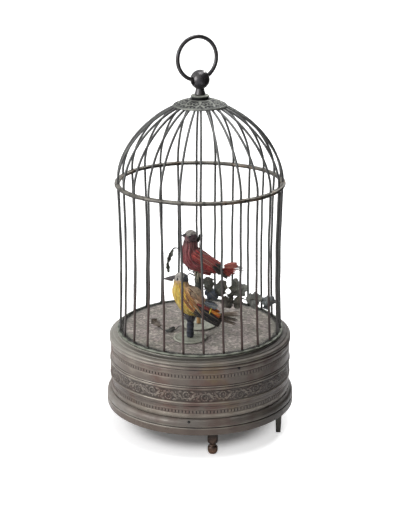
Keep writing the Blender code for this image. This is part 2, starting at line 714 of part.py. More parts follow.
def make_branch():
    """The branch of broad leaves that leans out from the trunk to the right."""
    x, y = UPPER_PERCH
    start = Vector((x + TRUNK_R + GAP + TWIG_R, y, FLOOR_TOP + BRANCH_HEIGHT))
    bends = (
        (0, 0, 0), (3, -0.3, -1), (8, -0.2, -3.5), (13, 0.1, -5.9), (19, 0.3, -6.4), (24.5, 0.5, -5.2),
        (32, 0.4, -8.6), (41, 0.1, -8.6), (48, 0, -9.5),
    )
    path = [start + Vector(bend) for bend in bends]
    sprays = (
        ((5.2, -0.2, -2.1), (-0.25, 0.1, 1.0), (0.3, -1, 0.2), 1.05),
        ((1.6, -0.2, -0.5), (0.85, -0.5, -0.55), (0.4, -1, -0.1), 0.95),
        ((12.0, 0.0, -5.4), (0.25, 0.2, 1.0), (-0.2, -1, 0.2), 1.05),
        ((15.0, 0.2, -6.1), (0.45, -0.2, -0.85), (0.3, -1, 0.2), 0.85),
        ((24.2, 0.5, -5.2), (0.05, 0.1, 1.0), (0.3, -1, 0.3), 1.1),
        ((26.5, 0.5, -6.1), (-0.1, -0.1, -1.0), (-0.2, -1, 0.2), 0.8),
        ((32.3, 0.4, -8.6), (1.0, 0.0, 0.1), (0.1, -1, 0.4), 1.05),
        ((44.5, 0.0, -9.0), (0.9, 0.1, -0.15), (0.2, -1, 0.5), 0.9),
    )
    leaves = [
        (start + Vector(stem), direction, normal, LEAF_LENGTH * scale, LEAF_WIDTH * scale)
        for stem, direction, normal, scale in sprays
    ]
    make_spray("leaf_branch", path, leaves)


def make_twig():
    """The thin twig behind the upper bird that arches over and hangs down at the left."""
    x, y = UPPER_PERCH
    side = TRUNK_R + GAP + TWIG_R
    start = Vector((x - side * 0.35, y + side * 0.94, FLOOR_TOP + TWIG_HEIGHT))
    bends = ((0, 0, 0), (-2, 6, 3), (-8, 9.5, 12), (-13, 9, 16), (-18, 7, 17), (-22, 5, 10), (-22.5, 4, 0))
    path = [start + Vector(bend) for bend in bends]
    upper = path[4] + Vector((-0.4, 0, -0.6))
    lower = path[6] + Vector((0, 0, 7.0))
    make_spray("leaf_twig", path, (
        (upper, (-0.42, -0.2, -1), (0.3, -1, 0), LEAF_LENGTH, LEAF_WIDTH * 0.36),
        (lower, (0.1, 0, -1), (0.4, -1, 0), LEAF_LENGTH * 0.8, LEAF_WIDTH * 0.34),
    ))


def make_fallen_twig():
    low = FLOOR_TOP + GAP + TWIG_R
    bends = (
        (-36, 14, 0.4), (-33, 2, 0), (-28.5, -10, 0), (-22.5, -15.3, 0), (-18.3, -10, 0.3), (-15.8, -6, 1.2),
    )
    path = [(x, y, low + lift) for x, y, lift in bends]
    make_spray("floor_vine", path, (
        ((-30.5, -4.5, low + 0.35), (-0.5, -1.0, 0.03), (0, 0, 1), LEAF_LENGTH * 0.8, LEAF_WIDTH * 0.5),
    ))


# Birds

def bird_rings(sections, y, sides=12):
    """Oval slices: each has its middle (x, z), its tilt from level in degrees, and two half-widths."""
    rings = []
    for x, z, tilt, half, wide in sections:
        slope = math.radians(tilt)
        across = Vector((math.cos(slope), 0, math.sin(slope)))
        ring = []
        for step in range(sides):
            angle = math.tau * step / sides
            side = Vector((0, wide * math.sin(angle), 0))
            ring.append(Vector((x, y, z)) + across * half * math.cos(angle) + side)
        rings.append(ring)
    return rings


def head_rings(centre, radii, seat_z, steps=8, sides=12):
    """Level slices of an egg from the neck, where it is cut flat, up to the crown."""
    cx, cy, cz = centre
    half_length, half_width, half_height = radii
    rings = []
    for step in range(steps + 1):
        z = seat_z + (cz + half_height - seat_z) * (1 - math.cos(math.pi * step / steps)) / 2
        share = math.sqrt(max(0.0004, 1 - ((z - cz) / half_height) ** 2))
        ring = []
        for k in range(sides):
            angle = math.tau * k / sides
            x, y = half_length * math.cos(angle), half_width * math.sin(angle)
            ring.append((cx + x * share, cy + y * share, z))
        rings.append(ring)
    return rings


def half_beak(root, aim, side, outward, length, radius, slant=0.0):
    """Half a cone, flat where the two halves of the beak part; the slant frees a hinged root."""
    rows = []
    for share, fat in ((0.0, 1.0), (0.35, 0.8), (0.75, 0.36), (1.0, 0.06)):
        ring = []
        for k in range(7):
            angle = math.pi * k / 6
            across = radius * fat * math.cos(angle)
            away = radius * fat * math.sin(angle)
            along = length * share + away * slant * (1 - share)
            ring.append(root + aim * along + side * across + outward * away)
        rows.append(ring)
    return loft(rows)


def make_head(name, slot, centre, radii, seat_z, aim, beak, beak_r, beak_lift):
    """A round head cut level at the neck, with the upper half of the beak.

    The lower half is a piece of its own, hinged where the two halves meet the face.
    """
    head = make_object(name + "_head", loft(head_rings(centre, radii, seat_z)), slot, (*centre[:2], seat_z))
    aim = Vector(aim).normalized()
    side = Vector((aim.y, -aim.x, 0)).normalized()
    up = aim.cross(side)
    up = up if up.z > 0 else -up
    face = Vector(centre) + up * beak_lift + aim * (radii[0] - BEAK_INSET)
    upper = half_beak(face - aim * BEAK_INSET, aim, side, up, beak + 2 * BEAK_INSET, beak_r)
    combine(head, make_tool(name + "_upper_beak", upper), "UNION")
    hinge = face + aim * (BEAK_INSET + GAP) - up * GAP
    lower = half_beak(hinge, aim, side, -up, beak * 0.88, beak_r * 0.8, BEAK_SLANT)
    make_object(name + "_beak", lower, "horn_beak", tuple(hinge))
    return hinge, side


def make_body(name, slot, sections, y, post_x, post_y, post_r, post_top):
    body = make_object(name + "_body", loft(bird_rings(sections, y)), slot)
    low = min(section[1] for section in sections) - 20
    reach = (post_r + GAP + 0.1) / math.cos(math.pi / TINY_ROUND)
    path = [(post_x, post_y, low), (post_x, post_y, post_top + GAP)]
    socket = rod_along(path, [reach, reach], TINY_ROUND)
    combine(body, make_tool(name + "_socket", socket), "DIFFERENCE")


def make_tail(name, slot, pivot, direction, length, talls, wides):
    """A tail that hinges in the rump: a round knuckle, then a blade that thins out.

    The half-heights are for the root, for near the tip and for the tip itself.
    """
    root, near_tip, tip = talls
    wide_root, wide_tip = wides
    along = Vector((direction[0], 0, direction[1])).normalized()
    up = Vector((-along.z, 0, along.x))
    rings = []
    for back, share in ((-1.0, 0.30), (-0.7, 0.75), (0.0, 1.0)):
        centre = Vector(pivot) + along * back * TAIL_KNUCKLE_R
        rings.append(flat_oval(centre, up, TAIL_KNUCKLE_R * share, wide_root))
    for share in (0.35, 0.7, 1.0):
        centre = Vector(pivot) + along * length * share
        tall = root + (near_tip - root) * share if share < 1 else tip
        rings.append(flat_oval(centre, up, tall, wide_root + (wide_tip - wide_root) * share))
    make_object(name + "_tail", loft(rings), slot, pivot)


def flat_oval(centre, up, tall, wide, sides=10):
    ring = []
    for step in range(sides):
        angle = math.tau * step / sides
        ring.append(centre + up * tall * math.sin(angle) + Vector((0, wide * math.cos(angle), 0)))
    return ring


def make_yellow_bird():
    x, y = LOWER_PERCH
    z = POST_TOP
    neck_z = z + 20.0
    sections = [
        (x - 6.2, neck_z, 0, 5.4, 4.6), (x - 4.6, neck_z - 3.0, 10, 7.6, 6.8),
        (x - 1.4, neck_z - 8.5, 30, 9.3, 8.4), (x + 2.6, neck_z - 14.0, 44, 9.0, 8.2),
        (x + 7.4, neck_z - 18.6, 50, 6.6, 6.6), (x + 11.8, neck_z - 22.2, 52, 4.0, 4.4),
    ]
    make_body("yellow_bird", "yellow_feathers", sections, y, x + 0.5, y, POST_R, POST_TOP)
    centre = (x - 6.7, y, neck_z + GAP + 4.4)
    hinge = make_head(
        "yellow_bird", "grey_feathers", centre, (5.2, 4.7, 4.7), neck_z + GAP,
        (-1, 0, -0.03), BEAK_LENGTH, BEAK_R, 0.9,
    )
    along = Vector((math.cos(math.radians(-38)), 0, math.sin(math.radians(-38))))
    pivot = Vector((x + 11.8, y, neck_z - 22.2)) + along * (TAIL_KNUCKLE_R + GAP)
    make_tail(
        "yellow_bird", "dark_plumes", tuple(pivot), (along.x, along.z * 0.62), 25.0,
        talls=(2.6, 1.2, 0.5), wides=(2.6, 3.6),
    )
    return hinge, pivot


def make_red_bird():
    x, y = UPPER_PERCH
    z = TRUNK_TOP
    neck_z = z + 15.5
    sections = [
        (x - 6.3, neck_z, 0, 4.9, 4.5), (x - 6.2, neck_z - 5.0, 6, 6.0, 5.6),
        (x - 4.4, neck_z - 10.4, 25, 7.8, 7.2), (x + 0.2, neck_z - 14.6, 46, 7.9, 7.4),
        (x + 6.6, neck_z - 16.8, 60, 6.2, 6.6), (x + 12.8, neck_z - 18.9, 66, 4.7, 5.4),
        (x + 17.0, neck_z - 20.4, 68, 3.2, 3.8),
    ]
    make_body("red_bird", "red_feathers", sections, y, x, y, TRUNK_R, TRUNK_TOP)
    centre = (x - 6.2, y, neck_z + GAP + 4.9)
    hinge = make_head(
        "red_bird", "plum_feathers", centre, (4.7, 4.5, 5.0), neck_z + GAP,
        (-1, -0.45, 0.12), SHORT_BEAK_LENGTH, SHORT_BEAK_R, 1.4,
    )
    along = Vector((math.cos(math.radians(-22)), 0, math.sin(math.radians(-22))))
    pivot = Vector((x + 17.0, y, neck_z - 20.4)) + along * (TAIL_KNUCKLE_R + GAP)
    make_tail(
        "red_bird", "tail_scarlet", tuple(pivot), (1.0, -0.04), 17.0,
        talls=(3.6, 2.0, 0.7), wides=(3.0, 2.2),
    )
    return hinge, pivot


# Clockwork

def make_plates():
    shape = rod(PLATE_R, LOWER_PLATE_Z, LOWER_PLATE_TOP, sides=24)
    lower = make_object("movement_lower_plate", shape, "plate_brass")
    corners = [(PILLAR_X, y) for y in PILLAR_Y] + [(-PILLAR_X, y) for y in PILLAR_Y]
    shape = bmesh.new()
    for corner in corners:
        rod(PILLAR_R, BASE_PLATE_TOP + GAP, LOWER_PLATE_TOP + PILLAR_HEIGHT, corner, 7, shape)
    combine(lower, make_tool("pillars", shape), "UNION")
    outline = []
    front, back = PILLAR_Y
    spots = ((PILLAR_X, back), (-PILLAR_X, back), (-PILLAR_X, front), (PILLAR_X, front))
    for turn, middle in zip((0, 90, 180, 270), spots):
        outline += arc(PLATE_MARGIN, turn, turn + 90, 3, middle)
    shape = slab(outline, UPPER_PLATE_Z, UPPER_PLATE_TOP)
    upper = make_object("movement_upper_plate", shape, "plate_brass")
    arbors = [(x, TRAIN_Y) for x in (CAM_X, CRANK_X, FLY_X)]
    heights = ((lower, LOWER_PLATE_Z, LOWER_PLATE_TOP), (upper, UPPER_PLATE_Z, UPPER_PLATE_TOP))
    for plate, low, high in heights:
        bore(plate, ARBOR_R + BORE_GAP, low - 1, high + 1, arbors)
        shape = rod((KEY_ARBOR_R + BORE_GAP) * 1.04, low - 1, high + 1, (BARREL_X, TRAIN_Y))
        combine(plate, make_tool(plate.name + "_key_hole", shape), "DIFFERENCE")


def make_barrel():
    centre = (BARREL_X, TRAIN_Y)
    drum_top = BARREL_Z + WHEEL_SHEET + BARREL_HEIGHT
    bottom = BARREL_Z + WHEEL_SHEET + 1.0
    barrel = make_object(
        "mainspring_barrel",
        slab(gear_outline(BARREL_TEETH, BARREL_MODULE, centre), BARREL_Z, BARREL_Z + WHEEL_SHEET),
        "wheel_brass", (*centre, BARREL_Z),
    )
    wall = BARREL_R - BARREL_WALL
    cup = turned(
        [(0, BARREL_Z + 0.4), (BARREL_R, BARREL_Z + 0.4), (BARREL_R, drum_top), (wall, drum_top),
         (wall, bottom), (0, bottom)],
        centre, 24,
    )
    combine(barrel, make_tool("barrel_cup", cup), "UNION")
    bore(barrel, KEY_ARBOR_R + BORE_GAP, BARREL_Z - 1, bottom + 1, [centre])
    cover = make_object(
        "barrel_cover",
        rod(BARREL_R, drum_top + GAP, drum_top + GAP + 0.9, centre, 24),
        "wheel_brass", (*centre, BARREL_Z),
    )
    bore(cover, KEY_ARBOR_R + BORE_GAP, drum_top - 1, drum_top + 3, [centre])
    make_mainspring(centre, bottom + GAP, drum_top - GAP)
    make_key_arbor(centre)


def make_mainspring(centre, low, high):
    """A flat strip wound in an even spiral between the arbor and the barrel wall."""
    inner = KEY_ARBOR_R + 3.5
    outer = BARREL_R - BARREL_WALL - GAP - SPRING_STRIP
    steps = SPRING_COILS * 14
    inside, outside = [], []
    for step in range(steps + 1):
        share = step / steps
        angle = math.tau * SPRING_COILS * share
        radius = inner + (outer - inner) * share
        direction = Vector((math.cos(angle), math.sin(angle)))
        inside.append(Vector(centre) + direction * radius)
        outside.append(Vector(centre) + direction * (radius + SPRING_STRIP))
    shape = bmesh.new()
    rows = []
    for a, b in zip(inside, outside):
        rows.append([(*a, low), (*b, low), (*b, high), (*a, high)])
    make_object("mainspring", loft(rows, shape), "spring_steel", (*centre, low))


def make_key_arbor(centre):
    top = UPPER_PLATE_TOP + GAP
    ratchet_top = top + 1.6
    low = BASE_PLATE_Z - 1.2 - KEY_HEIGHT + 3.2
    outline = [(0, low), (KEY_ARBOR_R, low), (KEY_ARBOR_R, ratchet_top + 1.2), (0, ratchet_top + 1.2)]
    make_object("barrel_arbor", turned(outline, centre, TINY_ROUND), "spring_steel", (*centre, low))
    teeth = []
    for tooth in range(RATCHET_TEETH):
        start = math.tau * tooth / RATCHET_TEETH
        for turn, radius in ((0.0, RATCHET_R), (0.12, RATCHET_R - 1.7), (0.55, RATCHET_R - 1.0)):
            angle = start + turn * math.tau / RATCHET_TEETH
            teeth.append((centre[0] + radius * math.cos(angle), centre[1] + radius * math.sin(angle)))
    ratchet = make_object("ratchet_wheel", slab(teeth, top, ratchet_top), "spring_steel", (*centre, top))
    bore(ratchet, KEY_ARBOR_R + GAP, top - 1, ratchet_top + 1, [centre])
    make_click(centre, top, ratchet_top)


def make_click(centre, low, high):
    """A pawl on its own stud, its beak resting just clear of a tooth's back."""
    stud = (centre[0], centre[1] + RATCHET_R + 5.0)
    reach = RATCHET_R + GAP + 0.15
    tip = (centre[0] - 2.2, centre[1] + math.sqrt(reach ** 2 - 2.2 ** 2))
    outline = [
        (stud[0] + 2.2, stud[1] - 1.0), (stud[0] + 2.0, stud[1] + 1.6), (stud[0] - 1.2, stud[1] + 2.2),
        (tip[0] - 2.6, tip[1] + 1.7), tip, (stud[0] - 1.0, stud[1] - 1.6),
    ]
    click = make_object("click", slab(outline, low, high), "spring_steel", (*stud, low))
    peg = rod(0.8, high - 0.4, high + 0.8, stud, 8)
    combine(click, make_tool("click_head", peg), "UNION")


def make_wheel(name, teeth, module, centre, z, turned_pieces):
    """A toothed wheel with its arbor, pinion and anything else that turns with it."""
    outline = gear_outline(teeth, module, centre)
    wheel = make_object(name, slab(outline, z, z + WHEEL_SHEET), "wheel_brass", (*centre, z))
    for piece, shape in turned_pieces:
        combine(wheel, make_tool(piece, shape), "UNION")


def arbor(centre):
    return rod(ARBOR_R, LOWER_PLATE_Z + GAP, UPPER_PLATE_TOP - GAP, centre)


def pinion(teeth, module, centre, z):
    """A pinion a little taller than the wheel that it meets, with a gap facing that wheel."""
    outline = gear_outline(teeth, module, centre, math.pi / teeth)
    return slab(outline, z - PINION_OVER, z + WHEEL_SHEET + PINION_OVER)


def make_cam_wheel():
    centre = (CAM_X, TRAIN_Y)
    make_wheel("cam_wheel", CAM_TEETH, CAM_MODULE, centre, CAM_WHEEL_Z, (
        ("cam_arbor", arbor(centre)),
        ("cam_pinion", pinion(CAM_PINION_TEETH, BARREL_MODULE, centre, BARREL_Z)),
    ))
    low = BARREL_Z + WHEEL_SHEET + PINION_OVER + 0.8
    stack = make_object(
        "cam_stack", slab(cam_outline(centre, 6.2, 1.3, 5, 0.0), low, low + CAM_SHEET),
        "wheel_brass", (*centre, low),
    )
    second = slab(cam_outline(centre, 5.4, 1.1, 3, 0.6), low + CAM_SHEET - 0.2, low + 2 * CAM_SHEET)
    combine(stack, make_tool("valve_cam", second), "UNION")
    bore(stack, ARBOR_R + GAP, low - 1, low + 2 * CAM_SHEET + 1, [centre])


def make_swash_wheel():
    """The third wheel of the train, whose sloping face lifts the arm of the bellows board."""
    centre = (CRANK_X, TRAIN_Y)
    low_face = CRANK_WHEEL_Z + WHEEL_SHEET - 0.3
    middle = SWASH_TOP - SWASH_RISE
    rings = []
    for z, rise in ((low_face, 0.0), (middle, SWASH_RISE)):
        ring = arc(SWASH_R, 0, 345, 23)
        rings.append([(centre[0] + x, centre[1] + y, z + rise * y / SWASH_R) for x, y in ring])
    make_wheel("swash_wheel", CRANK_TEETH, CRANK_MODULE, centre, CRANK_WHEEL_Z, (
        ("swash_arbor", arbor(centre)),
        ("swash_pinion", pinion(CRANK_PINION_TEETH, CAM_MODULE, centre, CAM_WHEEL_Z)),
        ("swash_face", loft(rings)),
    ))


def make_governor():
    """The last arbor of the train spins a vane that the air holds back."""
    centre = (FLY_X, TRAIN_Y)
    z = CRANK_WHEEL_Z - 8.0
    half = FLY_SHEET / 2
    corners = ((-FLY_REACH, -half), (FLY_REACH, -half), (FLY_REACH, half), (-FLY_REACH, half))
    vane = [(centre[0] + x, centre[1] + y) for x, y in corners]
    governor = make_object("governor_fly", slab(vane, z, z + FLY_HEIGHT), "wheel_brass", (*centre, z))
    combine(governor, make_tool("fly_arbor", arbor(centre)), "UNION")
    shape = pinion(FLY_PINION_TEETH, CRANK_MODULE, centre, CRANK_WHEEL_Z)
    combine(governor, make_tool("fly_pinion", shape), "UNION")


def cam_outline(centre, radius, rise, lobes, phase):
    """A cam's edge: a circle whose radius rises and falls once for each lobe."""
    points = []
    for step in range(24):
        angle = math.tau * step / 24
        reach = radius + rise * math.cos(lobes * angle + phase)
        points.append((centre[0] + reach * math.cos(angle), centre[1] + reach * math.sin(angle)))
    return points


def make_bellows():
    """A chest below, a kid-leather fold, and a board that rocks on a pin across its front."""
    x0, x1 = BELLOWS_X
    y0, y1 = BELLOWS_Y
    box = [(x0, y0 + 3), (x1, y0 + 3), (x1, y1), (x0, y1)]
    make_object("bellows_chest", slab(box, CHEST_Z, CHEST_Z + CHEST_HEIGHT), "bellows_wood")
    fold = [(x0 + 1, y0 + 4), (x1 - 1, y0 + 4), (x1 - 1, y1 - 1), (x0 + 1, y1 - 1)]
    levels = ((LEATHER_Z, 0.0), ((LEATHER_Z + BOARD_Z - GAP) / 2, 1.6), (BOARD_Z - GAP, 0.0))
    rings = []
    middle = Vector(((x0 + x1) / 2, (y0 + y1) / 2 + 2))
    for z, inset in levels:
        ring = []
        for corner in fold:
            pull = (middle - Vector(corner)).normalized() * inset
            ring.append((corner[0] + pull.x, corner[1] + pull.y, z))
        rings.append(ring)
    make_object("bellows_leather", loft(rings), "bellows_kid")
    arm_x = CRANK_X - 3.0
    arm_y = TRAIN_Y + 4.4
    board = [
        (x0, y0), (arm_x - 1.5, y0), (arm_x - 1.5, arm_y), (arm_x + 1.5, arm_y),
        (arm_x + 1.5, y0), (x1, y0), (x1, y1), (x0, y1),
    ]
    pivot = (0, y0, BOARD_Z + BOARD / 2)
    make_object("bellows_board", slab(board, BOARD_Z, BOARD_Z + BOARD), "bellows_wood", pivot)


def make_whistle():
    """A stopped pipe on a foot, with a piston that slides in it and changes the note."""
    z = LOWER_PLATE_TOP + GAP + 5.5 + WHISTLE_R
    start = Vector((-WHISTLE_LENGTH / 2, WHISTLE_Y, z))
    end = Vector((WHISTLE_LENGTH / 2, WHISTLE_Y, z))
    shape = rod_along([start, end], [WHISTLE_R] * 2, SMALL_ROUND)
    tube = make_object("whistle_tube", shape, "plate_brass")
    foot = [(-8, WHISTLE_Y - 2.5), (-2, WHISTLE_Y - 2.5), (-2, WHISTLE_Y + 2.5), (-8, WHISTLE_Y + 2.5)]
    combine(tube, make_tool("whistle_foot", slab(foot, LOWER_PLATE_TOP + GAP, z)), "UNION")
    hole = WHISTLE_BORE_R / math.cos(math.pi / SMALL_ROUND)
    cut = rod_along([start + Vector((4, 0, 0)), end + Vector((3, 0, 0))], [hole] * 2, SMALL_ROUND)
    combine(tube, make_tool("whistle_bore", cut), "DIFFERENCE")
    mouth = [(x, WHISTLE_Y + y) for x, y in ((-11.5, -1.6), (-9.5, -1.6), (-9.5, 1.6), (-11.5, 1.6))]
    combine(tube, make_tool("whistle_mouth", slab(mouth, z, z + WHISTLE_R + 2)), "DIFFERENCE")
    head = [end - Vector((13, 0, 0)), end - Vector((9, 0, 0))]
    piston_r = WHISTLE_BORE_R - GAP
    shape = rod_along(
        [head[0], head[1], head[1] + Vector((0.1, 0, 0)), end + Vector((4, 0, 0))],
        [piston_r, piston_r, 0.9, 0.9], TINY_ROUND,
    )
    make_object("whistle_piston", shape, "spring_steel", tuple(end))


def main():
    clear_scene()
    for name, (colour, roughness, metallic) in FINISHES.items():
        finish(name, colour, roughness, metallic)
    make_feet()
    make_rim()
    make_drum()
    make_base_plate()
    make_lever()
    make_winding_key()
    make_floor()
    make_cage_wires()
    make_rings()
    make_crown()
    make_finial_and_ring()
    make_posts()
    make_branch()
    make_twig()
    make_fallen_twig()
    joints = {"yellow_bird": make_yellow_bird(), "red_bird": make_red_bird()}
    make_plates()
    make_barrel()
    make_cam_wheel()
    make_swash_wheel()
    make_governor()
    make_bellows()
    make_whistle()
    for bird, (beak, tail) in joints.items():
        hinge, side = beak
        print(bird, "beak hinge", [round(c, 2) for c in hinge], "along", [round(c, 3) for c in side],
              "tail pivot", [round(c, 2) for c in tail])


main()
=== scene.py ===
# %% [markdown]
# A singing bird automaton: two small birds on stems under a domed wire cage. The drum below the
# cage hides a clockwork with a bellows and a whistle. The solids come from the frame, which says
# where each piece is and what it moves with. This lesson gives each of them its finish, and builds
# a finer skin for the pieces whose solids are only plain stand-ins: the embossed drum, the wires,
# the leaves and the feathers.

import math
from types import SimpleNamespace

import bpy
import numpy as np
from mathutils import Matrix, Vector


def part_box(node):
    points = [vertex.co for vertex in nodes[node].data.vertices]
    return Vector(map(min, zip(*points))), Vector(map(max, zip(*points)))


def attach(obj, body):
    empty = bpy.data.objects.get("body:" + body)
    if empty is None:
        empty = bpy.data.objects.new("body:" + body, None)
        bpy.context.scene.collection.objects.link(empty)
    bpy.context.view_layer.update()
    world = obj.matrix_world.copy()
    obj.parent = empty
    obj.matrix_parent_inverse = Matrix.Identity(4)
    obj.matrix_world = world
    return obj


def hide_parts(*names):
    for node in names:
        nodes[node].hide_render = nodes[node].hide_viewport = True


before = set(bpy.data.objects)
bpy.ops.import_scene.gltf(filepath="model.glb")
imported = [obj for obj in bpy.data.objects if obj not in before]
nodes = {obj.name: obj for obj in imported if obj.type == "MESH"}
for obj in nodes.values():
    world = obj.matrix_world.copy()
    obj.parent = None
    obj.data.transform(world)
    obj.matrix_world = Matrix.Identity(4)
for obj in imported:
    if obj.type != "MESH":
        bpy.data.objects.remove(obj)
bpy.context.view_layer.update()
MM = 0.001

# %% [markdown]
# Sizes are in millimetres, as a maker would write them, and become metres only where a mesh is
# filled. Heights and radii are read off the solids with box, so the skins sit where the solids are.
# Turned pieces need the axis, the lowest and the highest point and the largest radius.

# %% Read heights and radii off the solids
def low(node):
    """The height of the lowest point of a solid."""
    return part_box(node)[0].z / MM


def high(node):
    """The height of its highest point."""
    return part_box(node)[1].z / MM


def reach(node):
    """Half the width of a solid along X."""
    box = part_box(node)
    return (box[1].x - box[0].x) / 2 / MM


def middle(node):
    """The centre of its box."""
    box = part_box(node)
    return (np.array(box[0]) + np.array(box[1])) / 2 / MM


RIM_Z, RIM_TOP, RIM_R = low("base_rim"), high("base_rim"), reach("base_rim")
DRUM_Z, DRUM_TOP, DRUM_OUT = low("base_casing"), high("base_casing"), reach("base_casing")
FLOOR_TOP, FOOT_RING_TOP = high("floor_disc"), high("cage_foot_ring")
WAIST_Z = middle("cage_waist_ring")[2]
CAP_TOP = high("crown_cap")
print(f"rim {RIM_Z:.1f} to {RIM_TOP:.1f}, drum to {DRUM_TOP:.1f}, waist ring at {WAIST_Z:.1f},",
      f"crown to {CAP_TOP:.1f}")

# %% [markdown]
# Every new piece is a sheet of points with rows and columns. Two neighbouring rows and two
# neighbouring columns bound one four-sided face. A sheet that closes on itself, such as a ring,
# joins its last row or column to the first one, and an end that runs to a point gets a fan of
# triangles round one added point. All of that is index arithmetic on whole arrays, with no loop
# over the points.

# %% Turn a sheet of points into a mesh
def circle(count):
    """So many angles, evenly spaced over a full turn."""
    return np.linspace(0, math.tau, count, endpoint=False)


def polar(r, angle, z):
    """Points at radius r and an angle about the upright axis: (r cos a, r sin a, z)."""
    return np.stack(np.broadcast_arrays(r * np.cos(angle), r * np.sin(angle), z), -1)


def unit(vectors):
    """Each vector divided by its own length."""
    return vectors / np.linalg.norm(vectors, axis=-1, keepdims=True)


def sheet_faces(rows, columns, wrap_rows, wrap_columns, start=0):
    """Corner numbers of the faces: point (r, c) has number r * columns + c."""
    r = np.arange(rows if wrap_rows else rows - 1)
    c = np.arange(columns if wrap_columns else columns - 1)
    r, c = np.meshgrid(r, c, indexing="ij")
    down, right = (r + 1) % rows, (c + 1) % columns
    corners = r * columns + c, r * columns + right, down * columns + right, down * columns + c
    return np.stack(corners, -1).reshape(-1, 4) + start


def fan(ring, tip):
    """Triangles from a ring of corner numbers to one point."""
    return np.stack([ring, np.roll(ring, -1), np.full_like(ring, tip)], -1)


def capped_faces(columns, count):
    """Rows of count points at every angle, and a fan to each of two added points on the axis."""
    first = np.arange(columns) * count
    return [sheet_faces(columns, count, True, False), fan(first, columns * count),
            fan(first + count - 1, columns * count + 1)[:, ::-1]]


def outward(points, faces):
    """Turns every face round if the sheet's volume, the sum of a . (b x c) / 6, is negative."""
    total = 0.0
    for part in faces:
        a = points[part[:, 0]]
        for k in range(1, part.shape[1] - 1):
            total += np.einsum("ij,ij->", a, np.cross(points[part[:, k]], points[part[:, k + 1]]))
    return faces if total > 0 else [part[:, ::-1] for part in faces]


def add_object(name, data):
    """An object of a mesh, a light or a camera, linked to the scene."""
    item = bpy.data.objects.new(name, data)
    bpy.context.scene.collection.objects.link(item)
    return item


def make_piece(name, points, faces, finish, body, replaces=(), slot=None, uv=None, values=None):
    """Fills a mesh in millimetres, gives it a finish, and lets it ride on a body of the frame.

    values maps a name to one number, or one colour, for each point.
    """
    points = np.asarray(points, float).reshape(-1, 3)
    corners = [face for part in outward(points, faces) for face in part.tolist()]
    mesh = bpy.data.meshes.new(name)
    mesh.from_pydata((points * MM).tolist(), [], corners)
    if uv is not None:
        corner = np.zeros(len(mesh.loops), np.int32)
        mesh.loops.foreach_get("vertex_index", corner)
        uv = np.asarray(uv, np.float32).reshape(-1, 2)[corner]
        mesh.uv_layers.new(name="UVMap").data.foreach_set("uv", uv.ravel())
    for key, array in (values or {}).items():
        array = np.asarray(array, np.float32)
        if array.ndim == 1:
            mesh.attributes.new(key, "FLOAT", "POINT").data.foreach_set("value", array)
        else:
            colour = np.concatenate([array, np.ones((len(array), 1), np.float32)], 1)
            mesh.attributes.new(key, "FLOAT_COLOR", "POINT").data.foreach_set("color", colour.ravel())
    mesh.shade_smooth()
    mesh.validate()
    mesh.materials.append(finish)
    item = add_object(name, mesh)
    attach(item, body)
    if replaces:
        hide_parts(*replaces)
    print(f"{name}: {len(mesh.polygons)} faces")
    return item


# %% [markdown]
# Most of the metal was turned or spun, so the commonest sheet is a profile carried round an axis:
# the point at angle a has x = r cos a, y = r sin a and z = h. The profile is a list of corners,
# and each corner is softened with a short curve. Sharp metal edges always have a small radius,
# and that radius is what catches the light in a photograph.

# %% Profiles and turned pieces
def soften(outline, size=0.4, steps=4, closed=True):
    """Replaces each corner by a curve: B(t) = (1-t)^2 a + 2t(1-t) corner + t^2 b.

    The ends a and b lie on the two edges, at most size from the corner and under half the edge away.
    """
    corner = np.asarray(outline, float)
    before, after = np.roll(corner, 1, 0) - corner, np.roll(corner, -1, 0) - corner
    far_a, far_b = np.linalg.norm(before, axis=1), np.linalg.norm(after, axis=1)
    a = corner + before * (np.minimum(size, 0.42 * far_a) / far_a)[:, None]
    b = corner + after * (np.minimum(size, 0.42 * far_b) / far_b)[:, None]
    t = np.linspace(0, 1, steps)[None, :, None]
    curve = (1 - t) ** 2 * a[:, None] + 2 * t * (1 - t) * corner[:, None] + t ** 2 * b[:, None]
    if not closed:
        curve[0], curve[-1] = corner[0], corner[-1]
    return curve.reshape(-1, 2)


def turn(profile, columns, centre=(0.0, 0.0)):
    """Carries (radius, height) points round an upright axis; a row of points for each angle."""
    return polar(profile[None, :, 0], circle(columns)[:, None], profile[None, :, 1]) + (*centre, 0.0)


def turned_piece(name, profile, columns, finish, body, centre=(0.0, 0.0), **more):
    """A closed profile turned into a ring, or a profile that runs from axis to axis into a solid."""
    profile = np.asarray(profile, float)
    on_axis = profile[0, 0] < 1e-6 and profile[-1, 0] < 1e-6
    if not on_axis:
        points = turn(profile, columns, centre)
        faces = [sheet_faces(columns, len(profile), True, True)]
        return make_piece(name, points, faces, finish, body, **more)
    points = turn(profile[1:-1], columns, centre).reshape(-1, 3)
    ends = [[*centre, profile[0, 1]], [*centre, profile[-1, 1]]]
    faces = capped_faces(columns, len(profile) - 2)
    return make_piece(name, np.concatenate([points, ends]), faces, finish, body, **more)


# %% [markdown]
# Wires, stems and twigs are a small ring carried along a path. The ring has to stay square to the
# path without spinning about it, so a side direction is carried from point to point and made
# square again each time. Only that short walk is a loop, over the stations of the path and not
# over the points of the mesh.

# %% Smooth paths and swept tubes
def spline_at(stops, share):
    """A Catmull-Rom curve: each span blends its four nearest stops with cubic weights."""
    stops = np.asarray(stops, float)
    padded = np.concatenate([[2 * stops[0] - stops[1]], stops, [2 * stops[-1] - stops[-2]]])
    share = np.clip(share, 0, len(stops) - 1)
    span = np.minimum(share.astype(int), len(stops) - 2)
    t = (share - span)[..., None]
    p0, p1, p2, p3 = (padded[span + k] for k in range(4))
    return 0.5 * (2 * p1 + (p2 - p0) * t + (2 * p0 - 5 * p1 + 4 * p2 - p3) * t ** 2
                  + (3 * p1 - p0 - 3 * p2 + p3) * t ** 3)


